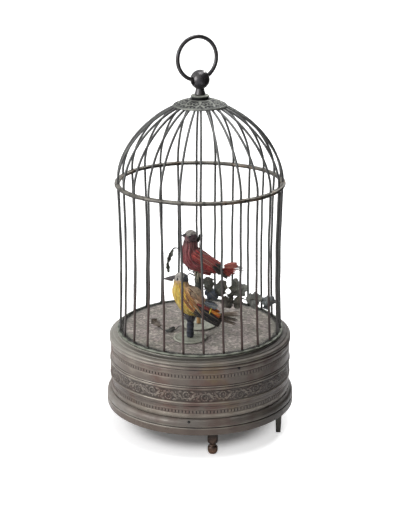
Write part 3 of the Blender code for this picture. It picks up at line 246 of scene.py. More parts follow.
def smooth_path(stops, count):
    """So many even stations on the spline, from the first stop to the last."""
    return spline_at(stops, np.linspace(0, len(stops) - 1, count))


def carried_sides(path):
    """The direction of a path at each station, and a side direction that never spins about it."""
    along = unit(np.gradient(path, axis=0))
    seed = np.array([0.0, 0.0, 1.0]) if abs(along[0, 2]) < 0.9 else np.array([1.0, 0.0, 0.0])
    sides = []
    for direction in along:
        seed = unit(seed - direction * (seed @ direction))
        sides.append(seed)
    return along, np.array(sides)


def tube(path, radius, columns):
    """Rows follow the path and columns go round it: p + r (cos b side + sin b other)."""
    path = np.asarray(path, float)
    along, side = carried_sides(path)
    b = circle(columns)[None, :, None]
    radius = np.broadcast_to(np.asarray(radius, float), (len(path),))[:, None, None]
    return path[:, None] + radius * (np.cos(b) * side[:, None] + np.sin(b) * np.cross(along, side)[:, None])


def join_sheets(sheets):
    """Stacks tubes into one list of points and one of faces; a fan to the middle closes each end."""
    points, faces, start = [], [], 0
    for grid in sheets:
        rows, columns = grid.shape[:2]
        points += [grid.reshape(-1, 3), [grid[0].mean(0), grid[-1].mean(0)]]
        count, ring = rows * columns, np.arange(columns) + start
        faces += [sheet_faces(rows, columns, False, True, start), fan(ring, start + count)[:, ::-1],
                  fan(ring + count - columns, start + count + 1)]
        start += count + 2
    return np.concatenate(points), faces


print("helpers ready")

# %% [markdown]
# Colours were judged against the photograph, as the three numbers of a paint program, and
# become linear light here. The node helpers only save typing: place adds a node and sets its
# options, and feed fills its sockets with a number, a colour or the output of another node.

# %% Colours and node helpers
def paint(red, green, blue):
    """0 to 255 becomes linear light: ((c + 0.055) / 1.055) ^ 2.4, and c / 12.92 near black."""
    c = np.array([red, green, blue]) / 255
    light = np.where(c <= 0.04045, c / 12.92, ((c + 0.055) / 1.055) ** 2.4)
    return tuple(float(v) for v in light)


def feed(tree, node, sockets):
    """Gives each socket its number or colour, or links it to another socket."""
    for key, value in sockets.items():
        socket = node.inputs[key]
        if isinstance(value, bpy.types.NodeSocket):
            tree.links.new(value, socket)
        else:
            socket.default_value = (*value, 1.0) if socket.type == "RGBA" else value


def place(tree, kind, sockets=None, **options):
    """Adds a node, sets its options and feeds its sockets."""
    node = tree.nodes.new(kind)
    for key, value in options.items():
        setattr(node, key, value)
    feed(tree, node, sockets or {})
    return node


def blend_colours(tree, factor, a, b):
    """(1 - factor) a + factor b, for colours."""
    return place(tree, "ShaderNodeMix", {0: factor, 6: a, 7: b}, data_type="RGBA").outputs[2]


def arithmetic(tree, operation, *values):
    """One step of arithmetic, as a socket."""
    return place(tree, "ShaderNodeMath", dict(enumerate(values)), operation=operation).outputs[0]


def times(tree, a, b):
    return arithmetic(tree, "MULTIPLY", a, b)


def spread(tree, value, low, high, to_low=0.0, to_high=1.0):
    """Maps low..high to to_low..to_high with a soft start and end."""
    sockets = {"Value": value, "From Min": low, "From Max": high, "To Min": to_low, "To Max": to_high}
    return place(tree, "ShaderNodeMapRange", sockets, interpolation_type="SMOOTHSTEP").outputs["Result"]


def new_group(name, inputs, outputs):
    """An empty shader group with its sockets: each input is (name, kind, value)."""
    tree = bpy.data.node_groups.new(name, "ShaderNodeTree")
    for label, kind, value in inputs:
        socket = tree.interface.new_socket(label, in_out="INPUT", socket_type="NodeSocket" + kind)
        if value is not None:
            socket.default_value = (*value, 1.0) if kind == "Color" else value
    for label, kind in outputs:
        tree.interface.new_socket(label, in_out="OUTPUT", socket_type="NodeSocket" + kind)
    return tree, tree.nodes.new("NodeGroupInput"), tree.nodes.new("NodeGroupOutput")


def use_group(tree, name, sockets):
    """Places one of the shader groups."""
    return place(tree, "ShaderNodeGroup", sockets, node_tree=bpy.data.node_groups[name])


# %% [markdown]
# Three effects return on nearly every surface, so each is a shader group with its own sockets.
# Mottle turns cloudy noise into a soft mask, for patches of patina, rubbed colour or dirt.
# Grain is a fine bump, which breaks up a highlight as real lacquer and cast metal do. Relief tone
# brightens what stands proud and darkens what lies deep: hands polish the high spots and dark wax
# stays in the low ones, and the same two colours also paint highlights on edges and tops and
# shade in grooves and recesses. It reads a number that the mesh carries for each of its points.

# %% Group: mottle
tree, given, out = new_group(
    "mottle",
    [("Vector", "Vector", None), ("Scale", "Float", 40.0), ("Low", "Float", 0.45), ("High", "Float", 0.6)],
    [("Mask", "Float")],
)
noise = place(tree, "ShaderNodeTexNoise", {"Vector": given.outputs["Vector"], "Scale": given.outputs["Scale"],
                                           "Detail": 6.0, "Roughness": 0.6})
mask = spread(tree, noise.outputs["Fac"], given.outputs["Low"], given.outputs["High"])
tree.links.new(mask, out.inputs["Mask"])

# %% Group: grain
tree, given, out = new_group(
    "grain",
    [("Vector", "Vector", None), ("Scale", "Float", 1500.0), ("Strength", "Float", 0.15)],
    [("Normal", "Vector"), ("Value", "Float")],
)
noise = place(tree, "ShaderNodeTexNoise",
              {"Vector": given.outputs["Vector"], "Scale": given.outputs["Scale"], "Detail": 4.0})
bump = place(tree, "ShaderNodeBump", {"Height": noise.outputs["Fac"], "Strength": given.outputs["Strength"],
                                      "Distance": 0.0003})
tree.links.new(bump.outputs["Normal"], out.inputs["Normal"])
tree.links.new(noise.outputs["Fac"], out.inputs["Value"])

# %% Group: relief tone
tree, given, out = new_group(
    "relief tone",
    [("Relief", "Float", 0.5), ("Colour", "Color", (0.5, 0.5, 0.5)), ("Worn", "Color", (0.7, 0.7, 0.6)),
     ("Deep", "Color", (0.1, 0.1, 0.1))],
    [("Colour", "Color"), ("High", "Float")],
)
# The worn colour is wear and a painted highlight; the deep colour is wax and painted shade.
proud_and_lit = spread(tree, given.outputs["Relief"], 0.6, 1.0)
sunk_and_shaded = spread(tree, given.outputs["Relief"], 0.42, 0.05)
rubbed = blend_colours(tree, proud_and_lit, given.outputs["Colour"], given.outputs["Worn"])
tree.links.new(blend_colours(tree, sunk_and_shaded, rubbed, given.outputs["Deep"]), out.inputs["Colour"])
tree.links.new(proud_and_lit, out.inputs["High"])
print("shader groups:", [group.name for group in bpy.data.node_groups])

# %% [markdown]
# The drum and cage are brass with a brown bronze lacquer. In the photograph the lacquer is uneven:
# reddish where it is thick, golden where it is rubbed through, and grey-green where it has gone
# dull. So one recipe mixes a base colour with two patch colours through mottle masks of different
# sizes, adds specks, lets the same masks change the roughness, and finishes with grain. Where a
# mesh carries a relief number, relief tone follows. A few tints by place come on top: patina in
# some bands, painted shade on the right of the drum and the rim, a painted sheen on the left of the
# shoulder and the rim, painted shade in the groove by the foot ring, and a painted highlight on the
# lip in front.

# %% Metal finishes
def start_material(name):
    """A new material, its tree, its shader and the object coordinates."""
    material = bpy.data.materials.new(name)
    material.use_nodes = True
    tree = material.node_tree
    return material, tree, tree.nodes["Principled BSDF"], place(tree, "ShaderNodeTexCoord").outputs["Object"]


def cloud(tree, where, scale, low, high):
    """The mottle mask: soft patches where the noise lies above low, full above high."""
    sockets = {"Vector": where, "Scale": scale, "Low": low, "High": high}
    return use_group(tree, "mottle", sockets).outputs["Mask"]


def grained(tree, where, scale, strength):
    """The grain's normal."""
    sockets = {"Vector": where, "Scale": scale, "Strength": strength}
    return use_group(tree, "grain", sockets).outputs["Normal"]


def antique_metal(name, base, patch, rub, metallic=0.6, roughness=(0.34, 0.55), patch_scale=45.0,
                  rub_scale=22.0, rub_from=0.56, grain=0.18, relief=None, coat=0.0):
    """relief is (worn, dark) colours for a mesh with the number relief: wear, wax, painted highlight and
    shade.
    """
    material, tree, shader, where = start_material(name)
    patches = cloud(tree, where, patch_scale, 0.42, 0.62)
    rubbed = cloud(tree, where, rub_scale, rub_from, rub_from + 0.1)
    specks = times(tree, cloud(tree, where, 900.0, 0.56, 0.7), 0.3)
    colour = blend_colours(tree, patches, paint(*base), paint(*patch))
    colour = blend_colours(tree, rubbed, colour, paint(*rub))
    colour = blend_colours(tree, specks, colour, tuple(0.35 * c for c in paint(*base)))
    rough = spread(tree, patches, 0.0, 1.0, *roughness)
    if relief:
        worn, wax_and_painted_shade = (paint(*tone) for tone in relief)
        number = place(tree, "ShaderNodeAttribute", attribute_name="relief").outputs["Fac"]
        sockets = {"Relief": number, "Colour": colour, "Worn": worn, "Deep": wax_and_painted_shade}
        toned = use_group(tree, "relief tone", sockets).outputs
        colour = toned["Colour"]
        rough = arithmetic(tree, "SUBTRACT", rough, times(tree, toned["High"], 0.1))
    feed(tree, shader, {"Base Color": colour, "Roughness": rough, "Metallic": metallic, "Coat Weight": coat,
                        "Coat Roughness": 0.35, "Normal": grained(tree, where, 1400.0, grain)})
    return material


LACQUER = (105, 96, 89), (101, 80, 73), (112, 96, 76)
bronze = antique_metal("bronze_lacquer", *LACQUER, metallic=0.28, coat=0.03,
                       relief=((150, 142, 130), (38, 33, 31)))
rim_bronze = antique_metal("rim_bronze", (105, 99, 93), (97, 83, 76), (110, 102, 92), metallic=0.25,
                           coat=0.03, patch_scale=38.0, relief=((140, 134, 124), (36, 31, 29)))
wire_brown = antique_metal("wire_lacquer", (92, 93, 92), (82, 81, 81), (104, 105, 102), metallic=0.5,
                           roughness=(0.38, 0.5), patch_scale=70.0, rub_scale=50.0, grain=0.08)
waist_brass = antique_metal("waist_brass", (90, 87, 82), (72, 70, 67), (116, 100, 86), patch_scale=70.0,
                            rub_scale=34.0, rub_from=0.52, relief=((128, 124, 116), (44, 42, 38)))
crown_green = antique_metal("crown_patina", (116, 118, 113), (98, 100, 96), (138, 140, 132), metallic=0.45,
                            roughness=(0.45, 0.65), patch_scale=160.0, rub_scale=110.0,
                            relief=((158, 160, 150), (26, 27, 28)))
dark_bronze = antique_metal("dark_bronze", (76, 73, 74), (58, 57, 62), (100, 90, 86),
                            roughness=(0.2, 0.32), patch_scale=110.0, grain=0.1, coat=0.4)
foot_brass = antique_metal("foot_brass", (90, 74, 66), (70, 58, 53), (128, 98, 80), metallic=0.75,
                           roughness=(0.26, 0.4), patch_scale=200.0, rub_scale=120.0, grain=0.1,
                           relief=((158, 124, 102), (52, 46, 43)))
lever_steel = antique_metal("lever_steel", (44, 44, 44), (34, 34, 36), (72, 70, 66), metallic=0.7,
                            roughness=(0.35, 0.5), patch_scale=150.0, grain=0.15)
ring_green = antique_metal("foot_ring_patina", (64, 66, 60), (46, 45, 42), (96, 100, 90), metallic=0.35,
                           roughness=(0.5, 0.7), patch_scale=120.0, rub_scale=80.0, grain=0.3,
                           relief=((124, 128, 116), (32, 33, 31)))


def away_from_axis(tree, where):
    """How far a point is from the upright axis: the length of (x, y, 0)."""
    flat = place(tree, "ShaderNodeVectorMath", {0: where, 1: (1.0, 1.0, 0.0)}, operation="MULTIPLY")
    return place(tree, "ShaderNodeVectorMath", {0: flat.outputs[0]}, operation="LENGTH").outputs["Value"]


def tint_where(material, colour, share, **spans):
    """Patina and painted light by place: X=(a, b) fades the colour in from x = a to b, in metres; spans
    multiply.
    """
    tree = material.node_tree
    shader = tree.nodes["Principled BSDF"]
    where = place(tree, "ShaderNodeTexCoord").outputs["Object"]
    axes = place(tree, "ShaderNodeSeparateXYZ", {0: where}).outputs
    for axis, (none, full) in spans.items():
        share = times(tree, spread(tree, axes[axis], none, full), share)
    before = shader.inputs["Base Color"].links[0].from_socket
    feed(tree, shader, {"Base Color": blend_colours(tree, share, before, paint(*colour))})


tint_where(wire_brown, (80, 62, 58), 0.8, Z=(0.150, 0.105), Y=(-0.01, -0.045))
tint_where(bronze, (96, 96, 88), 0.45, Z=(0.0700, 0.0720))
# A painted sheen on the left of the shoulder.
tint_where(bronze, (156, 153, 145), 0.55, Z=(0.0665, 0.0700), X=(-0.024, -0.066))
tint_where(rim_bronze, (84, 69, 62), 0.75, Z=(0.0235, 0.0220))
tint_where(bronze, (104, 96, 88), 0.75, Z=(0.0322, 0.0308))
tint_where(bronze, (66, 58, 53), 0.45, Z=(0.0500, 0.0440), X=(-0.030, -0.054))
# Painted shade in the groove by the foot ring, from the centre to the right; the lit left stays pale.
tint_where(bronze, (56, 54, 50), 0.6, Z=(0.0731, 0.0740), X=(-0.060, -0.036))
# A painted highlight on the lip of the drum, in front.
tint_where(bronze, (168, 166, 154), 0.7, Z=(0.0750, 0.0755), Y=(-0.010, -0.036))
# Painted shade on the right of the rim.
tint_where(rim_bronze, (40, 38, 35), 0.72, X=(0.018, 0.060))
# A painted sheen on the left of the rim's top.
tint_where(rim_bronze, (160, 156, 150), 0.3, X=(-0.040, -0.066), Z=(0.0225, 0.0245))
# Painted shade on the right of the drum.
tint_where(bronze, (48, 45, 42), 0.5, X=(0.018, 0.060))
print("metal finishes ready")

# %% [markdown]
# The rest is soft or painted. The floor is flocked: short fibres glued on a card, grey-mauve with
# pale and green flecks, and greener towards the ring where glue and dust gather. A ragged dark band
# just inside the ring is painted shade in the gap there. The leaves are starched cloth with pressed
# veins. Feathers get their colour from a tint that each feather carries, so one finish serves every
# zone of both birds, and from barbs: fine slanted stripes on both sides of a pale shaft, drawn in
# the feather's own UV map.

# %% Group: barbs
tree, given, out = new_group(
    "barbs",
    [("UV", "Vector", None), ("Count", "Float", 26.0), ("Slant", "Float", 9.0)],
    [("Stripe", "Float"), ("Shaft", "Float")],
)
axes = place(tree, "ShaderNodeSeparateXYZ", {0: given.outputs["UV"]})
aside = arithmetic(tree, "ABSOLUTE", arithmetic(tree, "SUBTRACT", axes.outputs["X"], 0.5))
climb = times(tree, axes.outputs["Y"], given.outputs["Count"])
slanted = arithmetic(tree, "SUBTRACT", climb, times(tree, aside, given.outputs["Slant"]))
wave = arithmetic(tree, "SINE", times(tree, slanted, math.tau))
tree.links.new(spread(tree, wave, -1.0, 1.0), out.inputs["Stripe"])
tree.links.new(spread(tree, aside, 0.07, 0.02), out.inputs["Shaft"])


# %% Cloth, felt and feather finishes
def felt_finish(name):
    """Flock: cloudy colour, short-fibre speckle, an edge by the distance from the axis, and painted shade."""
    material, tree, shader, where = start_material(name)
    broad = cloud(tree, where, 75.0, 0.4, 0.6)
    fleck = cloud(tree, where, 480.0, 0.36, 0.6)
    pale = cloud(tree, where, 330.0, 0.54, 0.64)
    away = away_from_axis(tree, where)
    edge = spread(tree, away, 0.054, 0.0600)
    # A ragged dark band just inside the ring: painted shade in the gap there.
    painted_gap_shade = times(tree, spread(tree, away, 0.0568, 0.0598), cloud(tree, where, 170.0, 0.28, 0.44))
    colour = blend_colours(tree, broad, paint(143, 131, 126), paint(116, 112, 100))
    colour = blend_colours(tree, fleck, paint(82, 75, 70), colour)
    colour = blend_colours(tree, times(tree, pale, 0.7), colour, paint(186, 178, 165))
    colour = blend_colours(tree, times(tree, edge, 0.6), colour, paint(92, 94, 84))
    colour = blend_colours(tree, times(tree, painted_gap_shade, 0.9), colour, paint(40, 41, 37))
    feed(tree, shader, {"Base Color": colour, "Normal": grained(tree, where, 1500.0, 0.9),
                        "Roughness": 0.95, "Sheen Weight": 0.25})
    return material


def tinted_finish(name, roughness, count, slant, stripe_depth, shaft_depth, sheen=0.15, grain=0.35):
    """The mesh's tint, shaded by slanted stripes and a shaft in its UV map, and mottled a little."""
    material, tree, shader, where = start_material(name)
    tint = place(tree, "ShaderNodeAttribute", attribute_name="tint").outputs["Color"]
    map_ = place(tree, "ShaderNodeUVMap", uv_map="UVMap").outputs["UV"]
    barbs = use_group(tree, "barbs", {"UV": map_, "Count": count, "Slant": slant}).outputs
    shade = times(tree, arithmetic(tree, "SUBTRACT", 1.0, barbs["Stripe"]), stripe_depth)
    colour = blend_colours(tree, shade, tint, (0.0, 0.0, 0.0))
    colour = blend_colours(tree, times(tree, barbs["Shaft"], shaft_depth), colour, paint(206, 188, 160))
    dirt = times(tree, cloud(tree, where, 500.0, 0.35, 0.65), 0.25)
    colour = blend_colours(tree, dirt, colour, (0.02, 0.015, 0.015))
    fibre = use_group(tree, "grain", {"Vector": where, "Scale": 2400.0}).outputs["Value"]
    height = arithmetic(tree, "ADD", times(tree, barbs["Stripe"], 0.5), times(tree, fibre, grain))
    ridges = place(tree, "ShaderNodeBump", {"Height": height, "Strength": 0.5, "Distance": 0.0002})
    feed(tree, shader, {"Base Color": colour, "Normal": ridges.outputs["Normal"],
                        "Roughness": roughness, "Sheen Weight": sheen})
    return material


def painted_finish(name, base, chipped, roughness, grain=0.25):
    """Paint or horn: a cloudy base with chips and dirt, and a light grain."""
    material, tree, shader, where = start_material(name)
    uneven = cloud(tree, where, 180.0, 0.4, 0.65)
    chips = cloud(tree, where, 420.0, 0.6, 0.66)
    colour = blend_colours(tree, uneven, paint(*base), tuple(0.72 * c for c in paint(*base)))
    feed(tree, shader, {"Base Color": blend_colours(tree, chips, colour, paint(*chipped)),
                        "Roughness": spread(tree, uneven, 0.0, 1.0, roughness, roughness + 0.15),
                        "Normal": grained(tree, where, 1200.0, grain)})
    return material


felt = felt_finish("flocked_felt")
feather = tinted_finish("feather", 0.72, 26.0, 9.0, 0.32, 0.3)
down = tinted_finish("down", 0.85, 60.0, 20.0, 0.12, 0.0, sheen=0.2, grain=0.7)
leaf_cloth = tinted_finish("leaf_cloth", 0.7, 7.0, 3.0, 0.22, 0.14, sheen=0.1, grain=0.9)
dish_paint = painted_finish("dish_paint", (158, 160, 146), (96, 98, 88), 0.5)
beak_horn = painted_finish("beak_horn", (74, 68, 70), (110, 102, 98), 0.35, grain=0.1)
glass_bead = painted_finish("glass_bead", (18, 15, 15), (34, 28, 26), 0.08, grain=0.02)
print("soft finishes ready")

# %% [markdown]
# The clockwork sits where no one sees it until the bottom plate is off, and its solids already
# have the right shape. They keep their shape and get finishes of their own: grained plate brass,
# brighter wheels, blued springs, planed wood and white leather. The bottom plate, the key and the
# screw of the lever keep their solids too.

# %% Finishes of the clockwork
def wood_finish(name, light, dark):
    """Long grain: noise stretched along X, which turns into rings where it is dense."""
    material, tree, shader, where = start_material(name)
    stretched = place(tree, "ShaderNodeMapping", {"Vector": where, "Scale": (60.0, 900.0, 900.0)}).outputs[0]
    rings = cloud(tree, stretched, 1.0, 0.4, 0.62)
    feed(tree, shader, {"Base Color": blend_colours(tree, rings, paint(*light), paint(*dark)),
                        "Normal": grained(tree, stretched, 2.0, 0.3), "Roughness": 0.62})
    return material


plate_brass = antique_metal("plate_brass", (186, 152, 92), (160, 126, 74), (206, 178, 120),
                            metallic=1.0, roughness=(0.25, 0.4))
wheel_brass = antique_metal("wheel_brass", (204, 170, 102), (180, 144, 84), (222, 194, 134),
                            metallic=1.0, roughness=(0.2, 0.34), patch_scale=150.0)
blued_steel = antique_metal("blued_steel", (72, 78, 96), (88, 84, 90), (112, 112, 118),
                            metallic=1.0, roughness=(0.2, 0.36), patch_scale=150.0)
INNER = {
    plate_brass: ("movement_lower_plate", "movement_upper_plate", "whistle_tube"),
    wheel_brass: ("mainspring_barrel", "barrel_cover", "cam_wheel", "cam_stack", "swash_wheel",
                  "governor_fly"),
    blued_steel: ("mainspring", "barrel_arbor", "ratchet_wheel", "click", "whistle_piston"),
    wood_finish("planed_beech", (176, 134, 92), (146, 104, 68)): ("bellows_chest", "bellows_board"),
    painted_finish("kid_leather", (206, 194, 170), (178, 162, 132), 0.6, grain=0.6): ("bellows_leather",),
    antique_metal("plate_bronze", *LACQUER, metallic=0.55): ("base_plate", "winding_key"),
    lever_steel: ("lever_pivot_screw",),
}
for finish, names in INNER.items():
    for name in names:
        mesh = nodes[name].data
        mesh.materials.clear()
        mesh.materials.append(finish)
print("finishes set on", sum(len(names) for names in INNER.values()), "solids that keep their shape")

# %% [markdown]
# The drum was spun from sheet brass: plain walls between beads, and a shoulder of turned lines that
# rolls in at the top. Its skin is one closed profile, outside and inside, turned in many steps. The
# embossed band and the two rows of punch marks are too fine for that profile, so the wall steps
# back behind them and three strips fill the steps, as a maker would solder rolled strip on a drum.

# %% The spun drum
SHEET = 0.9                      # thickness of the sheet
DRUM_R = 68.8                    # radius of the plain wall
PROUD = DRUM_OUT - 0.3           # radius of the beads
BAND = (42.9, 52.1)              # the embossed band between its two beads
STRIP = 3.2                      # height of a strip of punch marks
LOW_DASHES, HIGH_DASHES = ((middle_z - STRIP / 2, middle_z + STRIP / 2) for middle_z in (35.1, 62.6))
ROUND = 360                      # points round the drum and the rim
wall, back = DRUM_R, DRUM_R - 0.55
drum_outline = [
    (wall, DRUM_Z), (wall, LOW_DASHES[0]), (back, LOW_DASHES[0]), (back, LOW_DASHES[1]),
    (wall, LOW_DASHES[1]), (wall, 39.6), (PROUD - 0.2, 40.2), (PROUD - 0.1, 41.2), (PROUD, 42.3),
    (wall, BAND[0]), (back, BAND[0]), (back, BAND[1]), (wall, BAND[1]), (PROUD - 0.1, 52.7),
    (PROUD, 53.6), (PROUD - 0.5, 54.3), (PROUD - 0.1, 55.0), (wall, 55.5), (wall, 56.2),
    (wall - 0.1, HIGH_DASHES[0]), (back, HIGH_DASHES[0]), (back, HIGH_DASHES[1]),
    (wall - 0.1, HIGH_DASHES[1]), (wall, 67.2), (wall - 0.2, 67.7),
    (wall - 0.2, 68.1), (wall + 0.5, 68.5), (wall + 0.8, 69.3), (wall + 0.5, 70.0), (wall + 0.1, 70.4),
    (wall + 0.1, 70.7), (PROUD, 71.1), (PROUD + 0.1, 71.9), (PROUD - 0.4, 72.7), (PROUD - 1.2, 73.1),
    (PROUD - 2.4, 73.2), (PROUD - 2.7, 73.2), (PROUD - 3.1, 73.9), (PROUD - 3.7, 74.1), (PROUD - 5.4, 74.2),
    (PROUD - 5.9, 74.3), (PROUD - 6.0, 75.4), (PROUD - 7.0, DRUM_TOP), (57.2, DRUM_TOP),
    (57.2, DRUM_TOP - SHEET), (PROUD - 7.2, DRUM_TOP - SHEET), (65.6, 73.4), (67.2, 71.0),
    (67.2, DRUM_Z + 0.2),
]
print("drum outline:", len(drum_outline), "corners")


def corner_wear_and_painted_light(profile):
    """0.5 on flat metal, to 1 on outer corners and to 0 in inner ones: the outline's turning."""
    # Pale outer corners are wear and a painted highlight; dark inner corners are wax and painted shade.
    before, after = profile - np.roll(profile, 1, 0), np.roll(profile, -1, 0) - profile
    cross = before[:, 0] * after[:, 1] - before[:, 1] * after[:, 0]
    turning = np.arctan2(cross, (before * after).sum(1))
    near = sum(share * np.roll(turning, k) for k, share in ((-1, 0.7), (0, 1.0), (1, 0.7)))
    return np.clip(0.5 + 0.62 * np.sign(turning.sum()) * near, 0, 1)


def spun(name, outline, size, finish, node):
    """Turns a closed outline; its relief goes round with slow waves, so that wear and painted light vary."""
    profile = soften(outline, size)[::-1]
    angle = circle(ROUND)[:, None]
    waves = 0.05 * (np.sin(5 * angle) + np.sin(13 * angle + 1.0) + np.sin(29 * angle + 2.0))
    relief = np.clip(corner_wear_and_painted_light(profile)[None] + waves, 0, 1).ravel()
    turned_piece(name, profile, ROUND, finish, "case", replaces=(node,), slot="bronzed_sheet",
                 values={"relief": relief})


spun("drum_skin", drum_outline, 0.45, bronze, "base_casing")

# %% [markdown]
# The rim below the drum is a stepped ring with a groove half-way, and three small screws hold it.
# Its outer edge is the widest part of the whole piece, so it shows the longest highlight.

# %% The stepped rim
GROOVE_Z = RIM_Z + 5.7
rim_outline = [
    (RIM_R - SHEET, RIM_Z), (RIM_R, RIM_Z), (RIM_R, GROOVE_Z - 0.5), (RIM_R - 0.7, GROOVE_Z - 0.1),
    (RIM_R - 0.7, GROOVE_Z + 0.3), (RIM_R - 0.05, GROOVE_Z + 0.7), (RIM_R - 0.1, RIM_TOP - 3.4),
    (RIM_R - 0.5, RIM_TOP - 1.9), (RIM_R - 1.4, RIM_TOP - 0.8), (RIM_R - 2.4, RIM_TOP - 0.25),
    (DRUM_R + 0.3, RIM_TOP), (67.3, RIM_TOP), (67.3, RIM_TOP - SHEET), (RIM_R - 2.1, RIM_TOP - SHEET - 0.4),
    (RIM_R - SHEET, RIM_TOP - 3.0),
]
spun("rim_skin", rim_outline, 0.4, rim_bronze, "base_rim")

# %% [markdown]
# The embossed band was rolled from flat strip between two engraved wheels, so it repeats. Sixteen
# repeats go round this drum. Each repeat has one wave of a stem, v = 2 sin(2 pi s / P), and under
# each half-wave a spiral with a five-petalled rosette in its eye. A spiral ridge is the wave
# cos(2 pi (r / step - angle / 2 pi)): going once round moves it out by one step. Leaves with a
# midrib fill the corners. Everything is a height over the wall, one number for each point.

# %% Heights of the embossed band and of the punch marks
REPEATS, DASHES = 16, 166        # repeats of the band, and punch marks in a row
REPEAT = math.tau * DRUM_R / REPEATS


def fade(value, start, end):
    """0 below start and 1 above end, with a soft step between: 3t^2 - 2t^3."""
    t = np.clip((value - start) / (end - start), 0, 1)
    return t * t * (3 - 2 * t)


def leaf_hump(a, b, tilt, length, width):
    """A pointed oval turned by an angle, domed by a square root, with a midrib cut along it."""
    p = a * math.cos(tilt) + b * math.sin(tilt)
    q = -a * math.sin(tilt) + b * math.cos(tilt)
    taper = width * (1 - 0.45 * p / length)
    inside = np.clip(1 - (p / length) ** 2 - (q / taper) ** 2, 0, 1)
    return np.sqrt(inside) * (1 - 0.45 * np.exp(-(q / 0.14) ** 2))


LEAF_PLACES = [(4.8, -0.9, 0.9, 2.7, 1.0), (4.4, 2.3, -0.35, 2.3, 0.85), (3.0, -3.4, 0.4, 2.0, 0.7),
               (6.3, 0.9, 1.3, 1.7, 0.6), (5.6, -3.2, 0.9, 1.2, 0.6)]


def half_wave(a, b):
    """One spiral with its rosette and leaves; a runs along the band and b away from the stem's crest."""
    r, angle = np.hypot(a, b), np.arctan2(b, a)
    ridge = np.clip(0.3 + np.cos(math.tau * (r / 1.75 - angle / math.tau)), 0, 1)
    spiral = ridge * fade(r, 1.2, 1.7) * (1 - fade(r, 3.0, 3.7)) * (0.78 + 0.22 * np.cos(7 * angle + 2 * r))
    rosette = np.clip(1 - (r / 1.5) ** 2, 0, 1) * (0.6 + 0.4 * np.cos(5 * angle))
    leaves = leaf_hump(a - 0.4, b + 4.1, 1.3, 1.3, 0.7)
    for x, y, tilt, length, width in LEAF_PLACES:
        for side, size in ((1, 1.0), (-1, 0.86)):
            hump = leaf_hump(a - side * x, b - y, side * tilt, size * length, size * width)
            leaves = np.maximum(leaves, hump)
    return np.maximum(np.maximum(0.95 * spiral, rosette), 0.8 * leaves)


def band_height(s, v):
    """The wave's stem, a spiral under each half of it, slow wear along s, and a stippled ground.

    Like dash_height it gives two numbers for each point: the height and the relief.
    """
    u = (s + 3.0) % REPEAT
    swing = 2.0 * np.sin(math.tau * u / REPEAT)
    slope = 2.0 * math.tau / REPEAT * np.cos(math.tau * u / REPEAT)
    stem = 0.8 * np.exp(-((v - swing) / np.sqrt(1 + slope ** 2) / 0.36) ** 2)
    first = half_wave(u - REPEAT / 4, -(v + 1.1))
    second = half_wave(u - REPEAT * 3 / 4, v - 1.1)
    pattern = np.maximum(np.maximum(first, second), stem) * (1 - fade(np.abs(v), 3.9, 4.4))
    worn = 0.8 + 0.2 * np.sin(0.11 * s + 0.6) * np.sin(0.37 * s)
    stipple = 0.05 * np.sin(8 * s) * np.sin(8 * v + 2 * np.sin(3 * s))
    pattern = pattern * (0.82 + 0.18 * np.cos(5.5 * s + 2.2 * np.sin(1.9 * v)) * np.cos(4.1 * v))
    # The relief pales the pattern and darkens a rim round its foot: wear and wax, and also a painted
    # highlight and painted shade.
    edge = np.exp(-((pattern - 0.2) / 0.18) ** 2)
    return 0.66 * worn * pattern + stipple - 0.12, np.clip(0.36 - 0.48 * edge + 0.95 * pattern * worn, 0, 1)


def dash_height(s, v):
    """Short upright slots, one every 2.6 mm, with a raised lip where the punch threw metal up."""
    u = (s / (math.tau * DRUM_R / DASHES)) % 1.0 - 0.5
    tall = 1 - fade(np.abs(v), 0.85, 1.15)
    slot = np.exp(-(u / 0.15) ** 4) * tall
    lip = np.exp(-((np.abs(u) - 0.34) / 0.09) ** 2) * tall
    # The relief darkens each slot and pales its lip: wax and wear, and also painted shade in the slot and a
    # painted highlight on the lip.
    return 0.12 * lip - 0.26 * slot, np.clip(0.5 - 0.5 * slot + 0.36 * lip, 0, 1)


def wall_strip(name, span, height, rows, columns):
    """Fills a step of the drum: a loop of points at every angle, up the outside and down the inside."""
    v = np.linspace(span[0] + 0.04, span[1] - 0.04, rows)
    angle = circle(columns)
    s, h = np.meshgrid(DRUM_R * angle, v - sum(span) / 2, indexing="ij")
    raised, relief = height(s, h)
    r = np.concatenate([DRUM_R + raised, np.full((columns, 2), back + 0.03)], 1)
    z = np.concatenate([np.broadcast_to(v, s.shape), np.broadcast_to([v[-1], v[0]], (columns, 2))], 1)
    relief = np.concatenate([relief, np.full((columns, 2), 0.5)], 1).ravel()
    faces = [sheet_faces(columns, rows + 2, True, True)]
    make_piece(name, polar(r, angle[:, None], z), faces, bronze, "case", values={"relief": relief})


# %% The embossed band and the two rows of punch marks
wall_strip("scroll_band", BAND, band_height, 40, 108 * REPEATS)
wall_strip("lower_dashes", LOW_DASHES, dash_height, 10, 10 * DASHES)
wall_strip("upper_dashes", HIGH_DASHES, dash_height, 10, 10 * DASHES)

# %% [markdown]
# The cage is drawn wire. Thirteen wires are bent like hairpins, so that each makes two bars and
# their bend hides under the crown. Azimuths are measured from the front towards the right. The
# dome's height at radius r is a superellipse, z = spring + rise (1 - (r/R)^(2/p))^(p/2), and a
# hand-bent bar also wanders a little, as slow sines with a different phase for each bar.

# %% The thirteen wires
CAGE_R, WIRE_R = 61.4, 0.87      # radius of the circle of bars, and of a wire
BAR_Z, SPRING_Z = FOOT_RING_TOP + 0.3, 194.2
DOME_RISE, DOME_POWER, BEND_R = 58.15, 1.17, 12.3
BARS, FIRST = 26, 2.5            # how many bars, and the azimuth of the first one
PITCH = 360.0 / BARS


def around(azimuth, radius, z):
    """A point at so many degrees from the front, towards the right."""
    a = np.radians(azimuth)
    return np.stack(np.broadcast_arrays(radius * np.sin(a), -radius * np.cos(a), z), -1)


